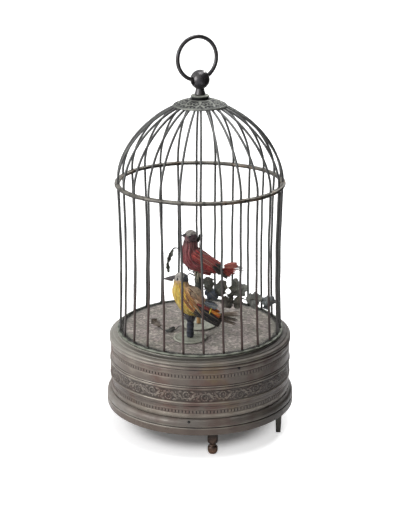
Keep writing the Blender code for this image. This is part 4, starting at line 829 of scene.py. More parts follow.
def dome(radius):
    """The height at which (height / rise)^p + (radius / CAGE_R)^p = 1, with p = 2 / DOME_POWER."""
    share = np.clip(radius / CAGE_R, 0, 1) ** (2 / DOME_POWER)
    return SPRING_Z + DOME_RISE * (1 - share) ** (DOME_POWER / 2)


def bar(index):
    """The middle line of one bar, from the foot ring to where its bend starts."""
    lean = 2.5 if index in (21, 22, 23) else -2.1 if index >= 24 or index <= 5 else 0.0
    angle = np.linspace(0, math.acos((BEND_R / CAGE_R) ** (1 / DOME_POWER)), 34)[1:]
    curve = CAGE_R * np.cos(angle) ** DOME_POWER
    radius = np.concatenate([np.full(40, CAGE_R), curve])
    z = np.concatenate([np.linspace(BAR_Z, SPRING_Z, 40), dome(curve)])
    climb = np.clip((z - BAR_Z) / (WAIST_Z - BAR_Z), 0, 1)
    held = np.sin(math.pi * climb)
    wander = 0.14 * held * np.sin(z / 9.0 + 1.7 * index) + 0.1 * held * np.sin(z / 4.3 + 2.9 * index)
    azimuth = FIRST + PITCH * index + lean * climb * radius / CAGE_R + wander
    return around(azimuth, radius - 1.3 * held + 0.12 * held * np.sin(z / 6.1 + index), z)


def hairpin(first, second):
    """Two bars and the half-circle that joins them, bent in towards the axis."""
    rise, fall = bar(first), bar(second)
    centre, half = (rise[-1] + fall[-1]) / 2, (fall[-1] - rise[-1]) / 2
    inward = np.array([-centre[0], -centre[1], 0.0])
    inward *= np.linalg.norm(half) / np.linalg.norm(inward)
    a = np.linspace(0, math.pi, 11)[1:-1, None]
    return np.concatenate([rise, centre - half * np.cos(a) + inward * np.sin(a), fall[::-1]])


for pair in range(BARS // 2):
    points, faces = join_sheets([tube(hairpin(2 * pair, 2 * pair + 1), WIRE_R, 10)])
    node = f"cage_wire_{pair + 1:02d}"
    make_piece(node + "_skin", points, faces, wire_brown, "case", replaces=(node,), slot="cage_wire")

# %% [markdown]
# The waist ring is a flattened band with a hole for every bar, and it swells a little at each
# hole where the drill pushed the metal out. The foot ring was soldered all round, and it shows:
# its top is wavy, and each bar stands in a small blob of solder.

# %% The waist ring and the foot ring
def ring_section(count, half_wide, half_tall, power):
    """A rounded box as a superellipse: cos and sin raised to a power below 1, with their signs kept."""
    b = circle(count)
    bend = lambda wave: np.sign(wave) * np.abs(wave) ** power
    return half_wide * bend(np.cos(b)), half_tall * bend(np.sin(b))


def shaped_ring(name, radius, z, section, columns, swell, lift, relief, finish, **more):
    """Carries a section round the axis; swell scales it and lift raises it at every angle."""
    angle = circle(columns)[:, None]
    across, up = section
    height = z + up[None] * swell(angle) + lift(angle)
    points = polar(radius + across[None] * swell(angle), angle, height)
    faces = [sheet_faces(columns, len(across), True, True)]
    values = {"relief": np.broadcast_to(relief(angle, across, up), height.shape).ravel()}
    make_piece(name, points, faces, finish, "case", values=values, **more)


def near_bars(angle, wide):
    """1 where a bar passes and 0 between the bars: a bell over the distance to the nearest bar."""
    pitch = math.radians(PITCH)
    offset = (angle - math.radians(FIRST - 90.0) + pitch / 2) % pitch - pitch / 2
    return np.exp(-(offset * CAGE_R / wide) ** 2)


# The relief number rises towards the top, a painted highlight there and painted shade below, and drops where
# a bar passes.
shaped_ring("waist_skin", CAGE_R + 0.2, WAIST_Z, ring_section(20, 2.15, 1.5, 0.8), 24 * BARS,
            lambda a: 1 + 0.05 * near_bars(a, 1.6) - 0.03 + 0.02 * np.sin(7 * a),
            lambda a: 0.12 * np.sin(3 * a + 1) + 0.06 * np.sin(11 * a),
            lambda a, x, y: np.clip(0.5 + 0.33 * y - 0.5 * near_bars(a, 0.9) + 0.12 * np.sin(19 * a), 0, 1),
            waist_brass, replaces=("cage_waist_ring",), slot="waist_brass")

half_tall = (FOOT_RING_TOP - low("cage_foot_ring")) / 2
# The relief number rises towards the top and the outside: a painted highlight there.
shaped_ring("foot_ring_skin", CAGE_R + 0.8, middle("cage_foot_ring")[2],
            ring_section(16, 1.3, half_tall, 0.75), 720,
            lambda a: 0.97 + 0.03 * np.sin(31 * a) * np.sin(17 * a + 1),
            lambda a: 0.05 * np.sin(23 * a) * np.sin(41 * a) - 0.03,
            lambda a, x, y: np.clip(0.6 + 0.25 * x + 0.2 * y + 0.15 * np.sin(37 * a), 0, 1),
            ring_green, replaces=("cage_foot_ring",), slot="crown_patina")

blobs = []
for index in range(BARS):
    foot = around(FIRST + PITCH * index, CAGE_R, FOOT_RING_TOP)
    size = 0.8 + 0.25 * math.sin(4.7 * index)
    blob = foot + np.array([[0, 0, h] for h in (-0.05, 0.25, 0.7, 1.1)]) * size
    blobs.append(tube(blob, np.array([1.5, 1.55, 1.25, 0.9]) * size, 10))
points, faces = join_sheets(blobs)
make_piece("solder", points, faces, ring_green, "case", values={"relief": np.full(len(points), 0.35)})

# %% [markdown]
# The cap over the wire ends was stamped in a die: eight times a leaf between two C-scrolls, with
# a beaded edge. Its top follows the dome at a constant distance, and the same spiral and leaf
# functions as on the drum now work in polar form, with the angle turned into a length. The collar
# above it is turned, and so is the flared neck.

# %% The embossed cap, the collar and the neck
CAP_R = reach("crown_cap")
CAP_GAP, CAP_SHEET = 1.0, 0.9


def cap_pattern(angle, r):
    """Height between 0 and 1: scrolls, leaves, and two ridges with beads at the edge."""
    step = math.tau / 8
    a = ((angle + math.pi / 2 + step / 2) % step - step / 2) * 13.0
    b = r - 13.4
    side = np.abs(a) - 3.1
    ring, around_it = np.hypot(side, b), np.arctan2(b, side)
    scroll = np.clip(np.cos(math.tau * (ring / 2.1 - around_it / math.tau)), 0, 1)
    scroll = scroll * (1 - fade(ring, 3.0, 3.6))
    leaf = np.maximum(leaf_hump(b + 2.2, a, 0.0, 3.6, 1.5),
                      leaf_hump(b - 2.6, np.abs(a) - 1.3, 0.55, 2.2, 0.9))
    beads = np.exp(-((r - 18.0) / 0.4) ** 2) * (0.5 + 0.5 * np.cos(angle * 40))
    edge = 0.5 * fade(r, 18.7, 19.0)
    inner = np.exp(-((r - 8.6) / 0.5) ** 2)
    return np.clip(np.maximum.reduce(np.broadcast_arrays(0.9 * scroll, leaf, beads, edge, inner)), 0, 1)


CAP_STEPS = 720
angle = circle(CAP_STEPS)[:, None]
top_r = np.linspace(6.4, CAP_R, 84)[None]
pattern = cap_pattern(angle, top_r)
roll = 0.7 * fade(top_r, CAP_R - 0.9, CAP_R) ** 2
top_z = np.minimum(dome(top_r) + CAP_GAP + CAP_SHEET + 0.1, CAP_TOP - 2.6) + 0.42 * pattern - roll
under_r = np.linspace(CAP_R - 0.3, 5.4, 24)[None]
under_z = np.minimum(dome(under_r) + CAP_GAP, CAP_TOP - 3.7) + 0 * angle
r = np.concatenate([top_r + 0 * angle, under_r + 0 * angle], 1)
z = np.concatenate([top_z, under_z], 1)
relief = np.concatenate([0.02 + 0.86 * pattern, np.full(under_z.shape, 0.05)], 1)
make_piece("cap_skin", polar(r, angle, z), [sheet_faces(CAP_STEPS, r.shape[1], True, True)], crown_green,
           "case", replaces=("crown_cap",), slot="crown_patina", values={"relief": relief.ravel()})

collar = soften([(0, CAP_TOP), (6.1, CAP_TOP), (6.9, CAP_TOP - 0.35), (6.9, CAP_TOP - 1.3),
                 (6.35, CAP_TOP - 1.6), (6.2, CAP_TOP - 3.4), (0, CAP_TOP - 3.4)], 0.25, closed=False)
# Paler towards the top and darker below: a painted highlight and painted shade.
collar_painted_light = np.clip(0.5 + (collar[:, 1] - CAP_TOP + 0.9) * 0.6, 0, 1)
turned_piece("collar", collar, 96, crown_green, "case",
             values={"relief": np.concatenate([np.tile(collar_painted_light[1:-1], 96), [0.9, 0.1]])})

neck = soften([(0, CAP_TOP + 5.4), (3.1, CAP_TOP + 5.4), (3.15, CAP_TOP + 4.4), (3.5, CAP_TOP + 2.4),
               (4.05, CAP_TOP + 0.9), (4.1, CAP_TOP + 0.3), (0, CAP_TOP + 0.3)], 0.5, 5, closed=False)
turned_piece("neck", neck, 72, dark_bronze, "case")

# %% [markdown]
# The ball is a drilled bead. Its shape is a circle carried round the line of the bore, cut where
# the bore opens, with a small chamfer there: that chamfer is the bright rim seen at its left. The
# ring that hangs in it is one round wire, and it belongs to the body that swings.

# %% The drilled ball and the hanging ring
BALL_R, BORE, RING_R, RING_WIRE = 7.1, 3.15, 15.7, 1.45
BORE_TURN, BORE_TILT = math.radians(27), math.radians(8.5)
ball_at = np.array([0, 0, high("finial_ball") - BALL_R])
along = np.array([math.cos(BORE_TURN) * math.cos(BORE_TILT), math.sin(BORE_TURN) * math.cos(BORE_TILT),
                  math.sin(BORE_TILT)])
ring_up = unit(np.array([0, 0, 1.0]) - along * along[2])
aside = np.cross(along, ring_up)
start = math.asin((BORE + 0.35) / BALL_R)
arc = np.linspace(start, math.pi - start, 40)
ball_profile = np.concatenate([
    BALL_R * np.stack([np.sin(arc), np.cos(arc)], -1),
    [(BORE + 0.1, -6.02), (BORE, -5.7), (BORE, -2.0), (BORE, 2.0), (BORE, 5.7), (BORE + 0.1, 6.02)],
])
b = circle(96)[:, None, None]
r, h = ball_profile[None, :, 0, None], ball_profile[None, :, 1, None]
points = ball_at + along * h + r * (np.cos(b) * ring_up + np.sin(b) * aside)
make_piece("ball_skin", points, [sheet_faces(96, len(ball_profile), True, True)], dark_bronze, "case",
           replaces=("finial_ball",), slot="dark_bronze")

a = circle(180)[:, None]
outside = ring_up * np.cos(a) - along * np.sin(a)
ring_path = ball_at + RING_R * (ring_up - outside)
b = circle(20)[None, :, None]
wire_r = RING_WIRE * (1 + 0.02 * np.sin(3 * a))[:, :, None]
points = ring_path[:, None] + wire_r * (np.cos(b) * outside[:, None] + np.sin(b) * aside)
make_piece("ring_skin", points, [sheet_faces(180, 20, True, True)], dark_bronze, "ring",
           replaces=("hanging_ring",), slot="dark_bronze")

# %% [markdown]
# The feet are turned: a plain drum above, a narrow waist, and a rounded knob below. The top is
# painted dark, as shade under the drum, and the knob is coppery. The lever is bent from strip: a
# flat arm with a hole round its screw, and a finger turned down.

# %% Feet and lever
foot_outline = [
    (0, 18.0), (3.6, 18.0), (3.8, 17.2), (3.8, 9.6), (3.6, 8.7), (3.0, 8.2), (2.5, 7.6), (2.4, 6.9),
    (2.6, 6.3), (3.2, 5.8), (3.7, 5.2), (3.8, 4.4), (3.8, 2.2), (3.6, 1.4), (3.2, 1.0), (3.1, 0.4),
    (2.9, 0.0), (0, 0.0),
]
foot_profile = soften(foot_outline, 0.5, closed=False)
# The relief falls with height, so the top is painted dark as shade under the drum.
foot_painted_shade = np.clip(0.92 - 0.06 * foot_profile[:, 1] + 0.16 * (foot_profile[:, 0] - 3.4), 0.02, 0.95)
foot_values = {"relief": np.concatenate([np.tile(foot_painted_shade[1:-1], 64), [0.1, 0.5]])}
for name in ("foot_front", "foot_left", "foot_right"):
    turned_piece(name + "_skin", foot_profile, 64, foot_brass, "case", centre=middle(name)[:2],
                 replaces=(name,), slot="foot_brass", values=foot_values)

PIVOT, BEND, HOLE_R = np.array([46.0, -21.0]), np.array([60.4, -30.67]), 1.35
along = unit(BEND - PIVOT)
aside = 2.0 * np.array([-along[1], along[0]])
arm_outline = soften([PIVOT - 2 * along - aside, BEND - aside, BEND + aside, PIVOT - 2 * along + aside], 0.8)
hole = PIVOT + HOLE_R * unit(arm_outline - PIVOT)
lever_top = high("start_stop_lever")
LEVER_THICK = 1.2
lever_base = lever_top - LEVER_THICK
rows = ((arm_outline, lever_base), (arm_outline, lever_top), (hole, lever_top), (hole, lever_base))
arm = np.stack([np.column_stack([ring, np.full(len(ring), z)]) for ring, z in rows])
box_x, box_y = ring_section(24, 1.0, 0.6, 0.4)
finger_z = np.array([2.0, 2.2, 4.0, 8.1, 14.0, lever_top - 0.5, lever_top - 0.1])[:, None]
finger_half = np.array([1.6, 1.8, 1.92, 2.1, 2.3, 2.4, 2.3])[:, None]
finger_x, finger_y = BEND[0] - 0.7 + finger_half * box_x, BEND[1] - 0.6 + box_y
finger = np.stack(np.broadcast_arrays(finger_x, finger_y, finger_z), -1)
arm_faces = outward(arm.reshape(-1, 3), [sheet_faces(4, len(arm_outline), True, True)])
points, faces = join_sheets([finger])
faces = arm_faces + [part + arm.size // 3 for part in outward(points, faces)]
make_piece("lever_skin", np.concatenate([arm.reshape(-1, 3), points]), faces, lever_steel, "lever",
           replaces=("start_stop_lever",), slot="black_steel")
print("feet and lever ready")

# %% [markdown]
# Three screws hold the rim, one of them in front, and one sits on the shoulder. Each has a domed
# head with a slot, so the head is a turned dome whose points near the slot's line are pressed down.

# %% Screw heads
def screw_head(name, azimuth, radius, z, size, slot_turn):
    """Turns a low dome about the wall's normal and presses a slot across it."""
    spot, normal = around(azimuth, radius, z), around(azimuth, 1.0, 0.0)
    side = unit(np.cross([0.0, 0.0, 1.0], normal))
    other = np.cross(normal, side)
    share = np.linspace(0.04, 1, 12)[None]
    b = circle(40)[:, None]
    x, y = size * share * np.cos(b), size * share * np.sin(b)
    off = np.abs(x * math.sin(slot_turn) - y * math.cos(slot_turn))
    lift = 0.42 * size * np.sqrt(1 - 0.86 * share ** 2) - 0.3 * size * np.exp(-(off / (0.16 * size)) ** 4)
    grid = spot + side * x[..., None] + other * y[..., None] + normal * lift[..., None]
    foot = spot + side * x[:, -1:, None] + other * y[:, -1:, None] - normal * 0.5 * size
    points = np.concatenate([grid, foot], 1).reshape(-1, 3)
    ends = [spot + normal * 0.1 * size, spot - normal * 0.5 * size]
    make_piece(name, np.concatenate([points, ends]), capped_faces(40, 13), lever_steel, "case")


for number, (azimuth, slot_turn) in enumerate(((-6.6, 0.4), (113.4, 1.3), (-126.6, 2.0))):
    screw_head(f"rim_screw_{number + 1}", azimuth, RIM_R - 0.75, RIM_TOP - 1.6, 1.1, slot_turn)
screw_head("shoulder_screw", 24.2, DRUM_OUT - 0.3, 67.4, 0.9, 0.9)

# %% [markdown]
# The floor is card with flock on it, so it is nearly flat but never quite. Each dish is a thin
# tin stamping with a raised rim, and its paint has gone dull.

# %% Floor and dishes
FLOOR_R = reach("floor_disc")
FLOOR_STEPS = 240
angle = circle(FLOOR_STEPS)[:, None]
floor_r = np.linspace(0.6, FLOOR_R, 80)[None]
x, y = floor_r * np.cos(angle), floor_r * np.sin(angle)
swell = 0.14 * np.sin(x / 5.3 + 1) * np.sin(y / 6.1) + 0.08 * np.sin(x / 1.9 + y / 2.3)
swell = swell + 0.05 * np.sin(1.7 * x - 1.3 * y)
top = polar(floor_r, angle, FLOOR_TOP - 0.2 + swell * (1 - fade(floor_r, FLOOR_R - 3, FLOOR_R)))
points = np.concatenate([top, polar(FLOOR_R, angle, low("floor_disc"))], 1)
ends = [[0, 0, FLOOR_TOP - 0.2], [0, 0, low("floor_disc")]]
make_piece("floor_felt", np.concatenate([points.reshape(-1, 3), ends]),
           capped_faces(FLOOR_STEPS, points.shape[1]), felt, "case",
           replaces=("floor_disc",), slot="felt_floor")

for name in ("front_dish", "rear_dish"):
    radius, base = reach(name), low(name)
    outline = [
        (0, base + 0.85), (4.6, base + 0.85), (5.4, base + 0.5), (radius - 2.6, base + 0.45),
        (radius - 1.9, base + 0.7), (radius - 1.0, base + 1.15), (radius - 0.4, base + 1.0),
        (radius, base + 0.45), (radius - 0.4, base + 0.05), (0, base),
    ]
    turned_piece(name + "_skin", soften(outline, 0.3, closed=False), 96, dish_paint, "case",
                 centre=middle(name)[:2], replaces=(name,), slot="dish_tin")

# %% [markdown]
# Leaves and feathers are the same kind of thing: a thin blade along a curved spine. A blade is a
# loop of points at every station of its spine, across the top and back along the underside, so it
# is a closed solid and its edges have a thickness. Hundreds of blades are made at once: every
# array has one more axis for the blade it belongs to, and the corner numbers of one blade are
# repeated with an offset.

# %% Thin blades, many at once
def blade_faces(count, rows, across):
    """Faces of all blades: the wall of each loop and a row of quads that closes each end."""
    loop = 2 * across
    wall = sheet_faces(rows, loop, False, True)
    k = np.arange(across - 1)
    cap = np.stack([k, loop - 1 - k, loop - 2 - k, k + 1], -1)
    one = np.concatenate([wall, cap, cap[:, ::-1] + (rows - 1) * loop])
    return (one[None] + (np.arange(count) * rows * loop)[:, None, None]).reshape(-1, 4)


def blades(spine, normal, half, thick, across=3, camber=0.15, ripple=None):
    """Spines [blade, row, 3], their normals, and half-widths [blade, row]; gives points, faces and UV.

    A point is spine + side t half + normal (camber half (1 - t^2) +- thick / 2), with t from -1 to 1.
    """
    count, rows = half.shape
    along = unit(np.gradient(spine, axis=1))
    side = unit(np.cross(normal, along))
    facing = np.cross(along, side)
    t = np.concatenate([np.linspace(-1, 1, across), np.linspace(1, -1, across)])
    rise = camber * half[..., None] * (1 - t ** 2) + np.repeat([0.5, -0.5], across) * thick
    v = np.linspace(0, 1, rows)[None, :, None]
    if ripple is not None:
        rise = rise + ripple(v, t)
    grid = spine[:, :, None] + side[:, :, None] * (half[..., None] * t)[..., None]
    grid = grid + facing[:, :, None] * rise[..., None]
    uv = np.stack([np.broadcast_to((t + 1) / 2, rise.shape), np.broadcast_to(v, rise.shape)], -1)
    return grid.reshape(-1, 3), [blade_faces(count, rows, across)], uv.reshape(-1, 2)


def tinted_tubes(name, sheets, body, **more):
    """Makes one soft piece of closed tubes; each is (grid, tint) and gets a UV map of its own."""
    uvs, tints = [], []
    for grid, tint in sheets:
        rows, columns = grid.shape[:2]
        v, u = np.meshgrid(np.linspace(0, 1, rows), np.arange(columns) / columns, indexing="ij")
        full = np.broadcast_to(tint, (rows, columns, 3)).reshape(-1, 3)
        uvs += [np.stack([u, v], -1).reshape(-1, 2), [[0.5, 0], [0.5, 1]]]
        tints += [full, full[:1], full[-1:]]
    points, faces = join_sheets([grid for grid, _ in sheets])
    make_piece(name, points, faces, down, body, uv=np.concatenate(uvs),
               values={"tint": np.concatenate(tints)}, **more)


print("blade helpers ready")

# %% [markdown]
# The birds stand on two stems. The short one is a sleeve of dark cloth with a frill of small
# feathers where it meets the bird. The tall one is a rod bound in dark green paper, and its root
# is bare and golden. Binding shows as a spiral ridge: the radius has a term sin(n b + z / pitch).

# %% The two stems
def bound_stem(name, spot, z, radius, threads, pitch, depth, tint, drift=0.0, **more):
    """An upright tube whose radius rises along a spiral of threads."""
    x = spot[0] + drift * (z - z[0])
    grid = tube(np.stack(np.broadcast_arrays(x, float(spot[1]), z), -1), radius, 28)
    centre = grid.mean(1, keepdims=True)
    wave = np.sin(threads * circle(28)[None, :, None] + centre[..., 2:3] * math.tau / pitch)
    tinted_tubes(name, [(centre + (grid - centre) * (1 + depth * wave), tint)], "case", **more)


POST, TRUNK = (-7.4, -27.1), (-1.0, 2.6)
STEM_Z = low("tree_trunk")
POST_TOP, TRUNK_TOP = high("lower_bird_post"), high("tree_trunk")
z = np.linspace(STEM_Z, POST_TOP, 60)
radius = 2.62 + 0.16 * np.sin(z * 1.1) + 0.1 * np.sin(z * 2.7 + 1)
tint = np.array(paint(44, 48, 60)) * (1 + 0.35 * np.sin(z * 1.9)[:, None, None])
bound_stem("post_skin", POST, z, radius, 9, 60.0, 0.035, tint, drift=0.02,
           replaces=("lower_bird_post",), slot="dark_plumes")

z = np.linspace(STEM_Z, TRUNK_TOP, 120)
bare = 1 - fade(z, 97.0, 99.0)
radius = 3.0 - 1.35 * bare + 0.1 * np.sin(z * 0.9) * (1 - bare)
tint = (bare[:, None] * paint(172, 132, 84) + (1 - bare[:, None]) * paint(66, 70, 64))[:, None]
bound_stem("trunk_skin", TRUNK, z, radius, 1, 3.2, 0.03, tint, replaces=("tree_trunk",), slot="bark_wrap")

# %% [markdown]
# The leaves were stamped from starched cloth with a lobed edge and crumpled by hand. The half-width
# follows sin(pi s) with three deep lobes, a sum of sines crumples the cloth in a way of its own for
# each leaf, and the spine curls. Their dye has gone grey-green, brown or nearly blue-black.

# %% Leaves and twigs
def leaf_piece(name, leaves):
    """Each leaf: stem point, direction, normal, length, width, curl, tint."""
    share = np.linspace(0, 1, 25)
    stem, way, face, length, width, curl, tint = (np.array(column, float) for column in zip(*leaves))
    way, face = unit(way), unit(face)
    face = unit(face - way * (face * way).sum(-1, keepdims=True))
    own = (np.arange(len(length)) * 2.4)[:, None]
    bow = curl[:, None] * length[:, None] * share ** 2 + 0.5 * np.sin(7 * share + own)
    spine = stem[:, None] + way[:, None] * (length[:, None] * share)[..., None]
    spine = spine + face[:, None] * bow[..., None]
    lobes = 1 - 0.3 * np.sin(math.pi * (2.6 * share + 0.3 * own)) ** 2 - 0.07 * ((9 * share) % 1.0)
    half = width[:, None] / 2 * np.sin(math.pi * (0.06 + 0.9 * share)) ** 0.6 * lobes * 1.28
    twist = 0.55 * np.sin(5 * share + 1.7 * own)[..., None] * np.cross(way, face)[:, None]
    normal = unit(face[:, None] + twist)

    def crumple(s, t):
        """Slanting veins, a groove on the midrib, and waves that grow towards the edge."""
        veins = 0.2 * np.cos((s * 7 - np.abs(t) * 1.6) * math.tau) * np.abs(t)
        veins = veins - 0.2 * np.exp(-(t / 0.12) ** 2)
        return veins + 0.7 * np.sin(6 * s + 3 * t) * np.sin(5 * t - 4 * s) * np.abs(t)

    points, faces, uv = blades(spine, normal, half, 0.3, across=9, camber=0.12, ripple=crumple)
    shade = 1 + 0.25 * np.sin(share * 5 + 1)[None, :, None, None]
    tints = tint[:, None, None, :] * np.broadcast_to(shade, (len(tint), 25, 18, 1))
    make_piece(name, points, faces, leaf_cloth, "case", uv=uv, values={"tint": tints.reshape(-1, 3)})


def twig(name, stops, count, radius, colour, node):
    """A tube along a smooth path; radius is a number, or a function of the station's number."""
    radius = radius(np.arange(count)) if callable(radius) else radius
    tinted_tubes(name, [(tube(smooth_path(stops, count), radius, 10), paint(*colour))], "case",
                 replaces=(node,), slot="leaf_cloth")


branch_start = np.array([TRUNK[0] + 3.95, TRUNK[1], FLOOR_TOP + 29.0])
branch_stops = branch_start + np.array([
    (0, 0, 0), (3, -0.3, -1), (8, -0.2, -3.5), (13, 0.1, -5.9), (19, 0.3, -6.4), (24.5, 0.5, -5.2),
    (32, 0.4, -8.6), (41, 0.1, -8.6), (48, 0, -9.5)])
twig("branch_twig", branch_stops, 72, lambda k: 0.42 + 0.08 * np.sin(k * 0.9), (66, 66, 60), "leaf_branch")
sprays = [
    ((5.2, -0.2, -2.1), (-0.25, 0.1, 1.0), (0.3, -1, 0.2), 1.05, 0.15, (140, 143, 134)),
    ((1.6, -0.2, -0.5), (0.85, -0.5, -0.55), (0.4, -1, -0.1), 0.95, -0.1, (76, 86, 100)),
    ((12.0, 0.0, -5.4), (0.25, 0.2, 1.0), (-0.2, -1, 0.2), 1.05, 0.12, (134, 128, 116)),
    ((15.0, 0.2, -6.1), (0.45, -0.2, -0.85), (0.3, -1, 0.2), 0.85, 0.2, (120, 112, 100)),
    ((24.2, 0.5, -5.2), (0.05, 0.1, 1.0), (0.3, -1, 0.3), 1.1, -0.12, (150, 152, 141)),
    ((26.5, 0.5, -6.1), (-0.1, -0.1, -1.0), (-0.2, -1, 0.2), 0.8, 0.15, (126, 124, 112)),
    ((32.3, 0.4, -8.6), (1.0, 0.0, 0.1), (0.1, -1, 0.4), 1.05, 0.15, (138, 139, 133)),
    ((44.5, 0.0, -9.0), (0.9, 0.1, -0.15), (0.2, -1, 0.5), 0.9, 0.1, (116, 121, 122)),
    ((8.4, -0.2, -3.7), (0.6, -0.6, 0.9), (-0.4, -1, 0.2), 0.85, -0.2, (106, 110, 104)),
    ((19.5, 0.3, -6.3), (0.4, -0.4, 0.9), (0.5, -1, 0.3), 0.85, 0.2, (134, 136, 126)),
    ((22.0, 0.4, -5.8), (-0.5, -0.5, -0.7), (0.4, -1, 0.1), 0.8, 0.2, (114, 112, 102)),
    ((24.6, 0.5, -5.3), (0.75, 0.2, 0.75), (-0.5, -1, 0.3), 0.95, -0.15, (136, 139, 131)),
    ((36.0, 0.3, -8.6), (0.5, -0.4, -0.7), (-0.3, -1, 0.2), 0.7, 0.2, (128, 131, 126)),
    ((45.5, 0.0, -9.1), (0.5, -0.3, -0.9), (0.5, -1, 0.2), 0.65, 0.2, (108, 114, 116)),
]
leaf_piece("branch_leaves", [
    (branch_start + stem, way, face, 11.8 * size, 9.0 * size, curl, 0.88 * np.array(paint(*tint)))
    for stem, way, face, size, curl, tint in sprays])

twig_start = np.array([TRUNK[0] - 1.38, TRUNK[1] + 3.71, FLOOR_TOP + 41.0])
twig_stops = twig_start + np.array([
    (0, 0, 0), (-2, 6, 3), (-8, 9.5, 12), (-13, 9, 16), (-18, 7, 17), (-22, 5, 10), (-22.5, 4, 0)])
twig("twig_skin", twig_stops, 60, lambda k: 0.5 + 0.1 * np.sin(k * 0.7), (58, 60, 55), "leaf_twig")
leaf_piece("twig_leaves", [
    (twig_stops[4] + (-0.4, 0, -0.6), (-0.42, -0.2, -1), (0.3, -1, 0), 10.5, 2.9, 0.1, paint(88, 94, 86)),
    (twig_stops[6] + (0, 0, 7.0), (0.1, 0, -1), (0.4, -1, 0), 8.4, 2.7, -0.1, paint(92, 98, 88)),
])

vine_low = FLOOR_TOP + 0.85
vine_stops = np.array([0, 0, vine_low]) + np.array([
    (-36, 14, 0.4), (-33, 2, 0), (-28.5, -10, 0), (-22.5, -15.3, 0), (-18.3, -10, 0.3), (-15.8, -6, 1.2)])
twig("vine_skin", vine_stops, 60, 0.4, (60, 60, 54), "floor_vine")
leaf_piece("vine_leaves", [
    ((-30.5, -4.5, vine_low + 0.35), (-0.75, 0.35, 0.55), (0.3, -1, 0.5), 8.4, 5.6, 0.1, paint(104, 94, 84)),
    ((-26.0, -14.4, vine_low + 0.3), (0.95, 0.25, 0.1), (0, -0.6, 1), 7.4, 3.4, 0.15, paint(44, 48, 46)),
])

# %% [markdown]
# Each bird is a carved body covered with real feathers. The maker glues them on in rows from the
# tail to the head, so every row hides the stumps of the row behind it. The carved body is a tube
# whose section is an ellipse that leans: at u along it and phi round it, the surface is the middle
# line plus half cos(phi) (cos lean, 0, sin lean) plus wide sin(phi) sideways. Its stations run from
# inside the head to past the rump, so feathers can follow it over both ends. A head is an ellipsoid
# in the same form, with u as the angle from the line of the beak.

# %% Surfaces that feathers lie on
def carved(spot, neck, stations):
    """The middle line and the surface of a body; stations are (x, z, lean, half, wide) from its neck."""
    rows = np.array(stations, float) + [spot[0], neck, 0, 0, 0]

    def axis(u):
        x, z = np.moveaxis(spline_at(rows[:, :2], u), -1, 0)
        return np.stack([x, np.full(x.shape, float(spot[1])), z], -1)

    def surface(u, phi):
        lean, half, wide = np.moveaxis(spline_at(rows[:, 2:], u), -1, 0)
        lean, out = np.radians(lean), half * np.cos(phi)
        return axis(u) + np.stack([out * np.cos(lean), wide * np.sin(phi), out * np.sin(lean)], -1)

    return axis, surface


def head_axes(aim):
    """The directions of a head: along the beak, to its side, and up."""
    aim = unit(np.array(aim, float))
    side = unit(np.array([aim[1], -aim[0], 0.0]))
    up = np.cross(aim, side)
    return aim, side, up * np.sign(up[2])


def rounded(centre, radii, aim):
    """The middle and the surface of a head: an ellipsoid with its pole on the line of the beak."""
    aim, side, up = head_axes(aim)

    def axis(u):
        return np.broadcast_to(centre, np.shape(u) + (3,))

    def surface(u, phi):
        u, phi = u[..., None], phi[..., None]
        ring = radii[2] * np.cos(phi) * up + radii[1] * np.sin(phi) * side
        return axis(u[..., 0]) + radii[0] * np.cos(u) * aim + np.sin(u) * ring

    return axis, surface


YELLOW_NECK, RED_NECK = POST_TOP + 20.0, TRUNK_TOP + 15.5
yellow_body = carved(POST, YELLOW_NECK, [
    (-6.5, 4.6, -4, 4.9, 4.6), (-6.2, 0, 0, 5.5, 4.9), (-4.6, -3, 10, 7.6, 6.8), (-1.4, -8.5, 30, 9.3, 8.4),
    (2.6, -14, 44, 9.0, 8.2), (7.4, -18.6, 50, 6.6, 6.6), (11.8, -22.2, 52, 4.0, 4.4), (19, -26.5, 54, 2, 3)])
red_body = carved(TRUNK, RED_NECK, [
    (-6.3, 5, -2, 4.7, 4.5), (-6.3, 0, 0, 5.0, 4.6), (-6.2, -5, 6, 6.0, 5.6), (-4.4, -10.4, 25, 7.8, 7.2),
    (0.2, -14.6, 46, 7.9, 7.4), (6.6, -16.8, 60, 6.2, 6.6), (12.8, -18.9, 66, 4.7, 5.4),
    (17, -20.4, 68, 3.2, 3.8), (23.5, -22, 70, 2.0, 2.6)])
print("necks at", round(YELLOW_NECK, 1), "and", round(RED_NECK, 1))

# %% [markdown]
# The colours lie in patches: a gold breast, a blue-black nape, a rose back, a crimson breast. Each
# patch is an ellipse in the plane that the photograph shows. A feather takes the colour of the
# patch in which it lies deepest, with a little luck at the borders, and a carved body blends them
# softly. A point beside the middle plane looks lower by 0.313 mm for each millimetre that it is
# nearer, because the camera looks down by 17.4 degrees, so the patches are read at that height.
# All luck comes from one source of random numbers with a fixed start, so it is always the same.

# %% Patches of colour
VIEW_SLOPE = 0.313
YELLOW_ZONES = [
    (-13.5, 107, 5.5, 12, (246, 206, 78)), (-18.6, 110, 1.2, 11, (236, 180, 96)),
    (-11, 97, 4, 3, (232, 158, 46)), (-17, 120.2, 3.4, 2.6, (232, 192, 140)),
    (-15.9, 126, 3.4, 3.2, (184, 178, 172)), (-9.6, 116.5, 2.0, 4.0, (222, 178, 128)),
    (-9.8, 123.2, 2.7, 4.0, (54, 58, 70)), (-7.5, 113, 1.8, 7, (92, 64, 46)),
    (-6.8, 107, 1.8, 5, (176, 96, 40)), (-3.4, 115, 4, 5, (176, 152, 124)),
    (-0.6, 106, 4, 4, (204, 164, 130)), (3.8, 99.8, 2.6, 2.8, (158, 52, 44)),
    (10.3, 104, 4.4, 3, (148, 158, 166)), (11, 96, 4, 2.4, (224, 112, 38)),
    (3, 94.5, 8, 4.5, (36, 36, 42)),
]
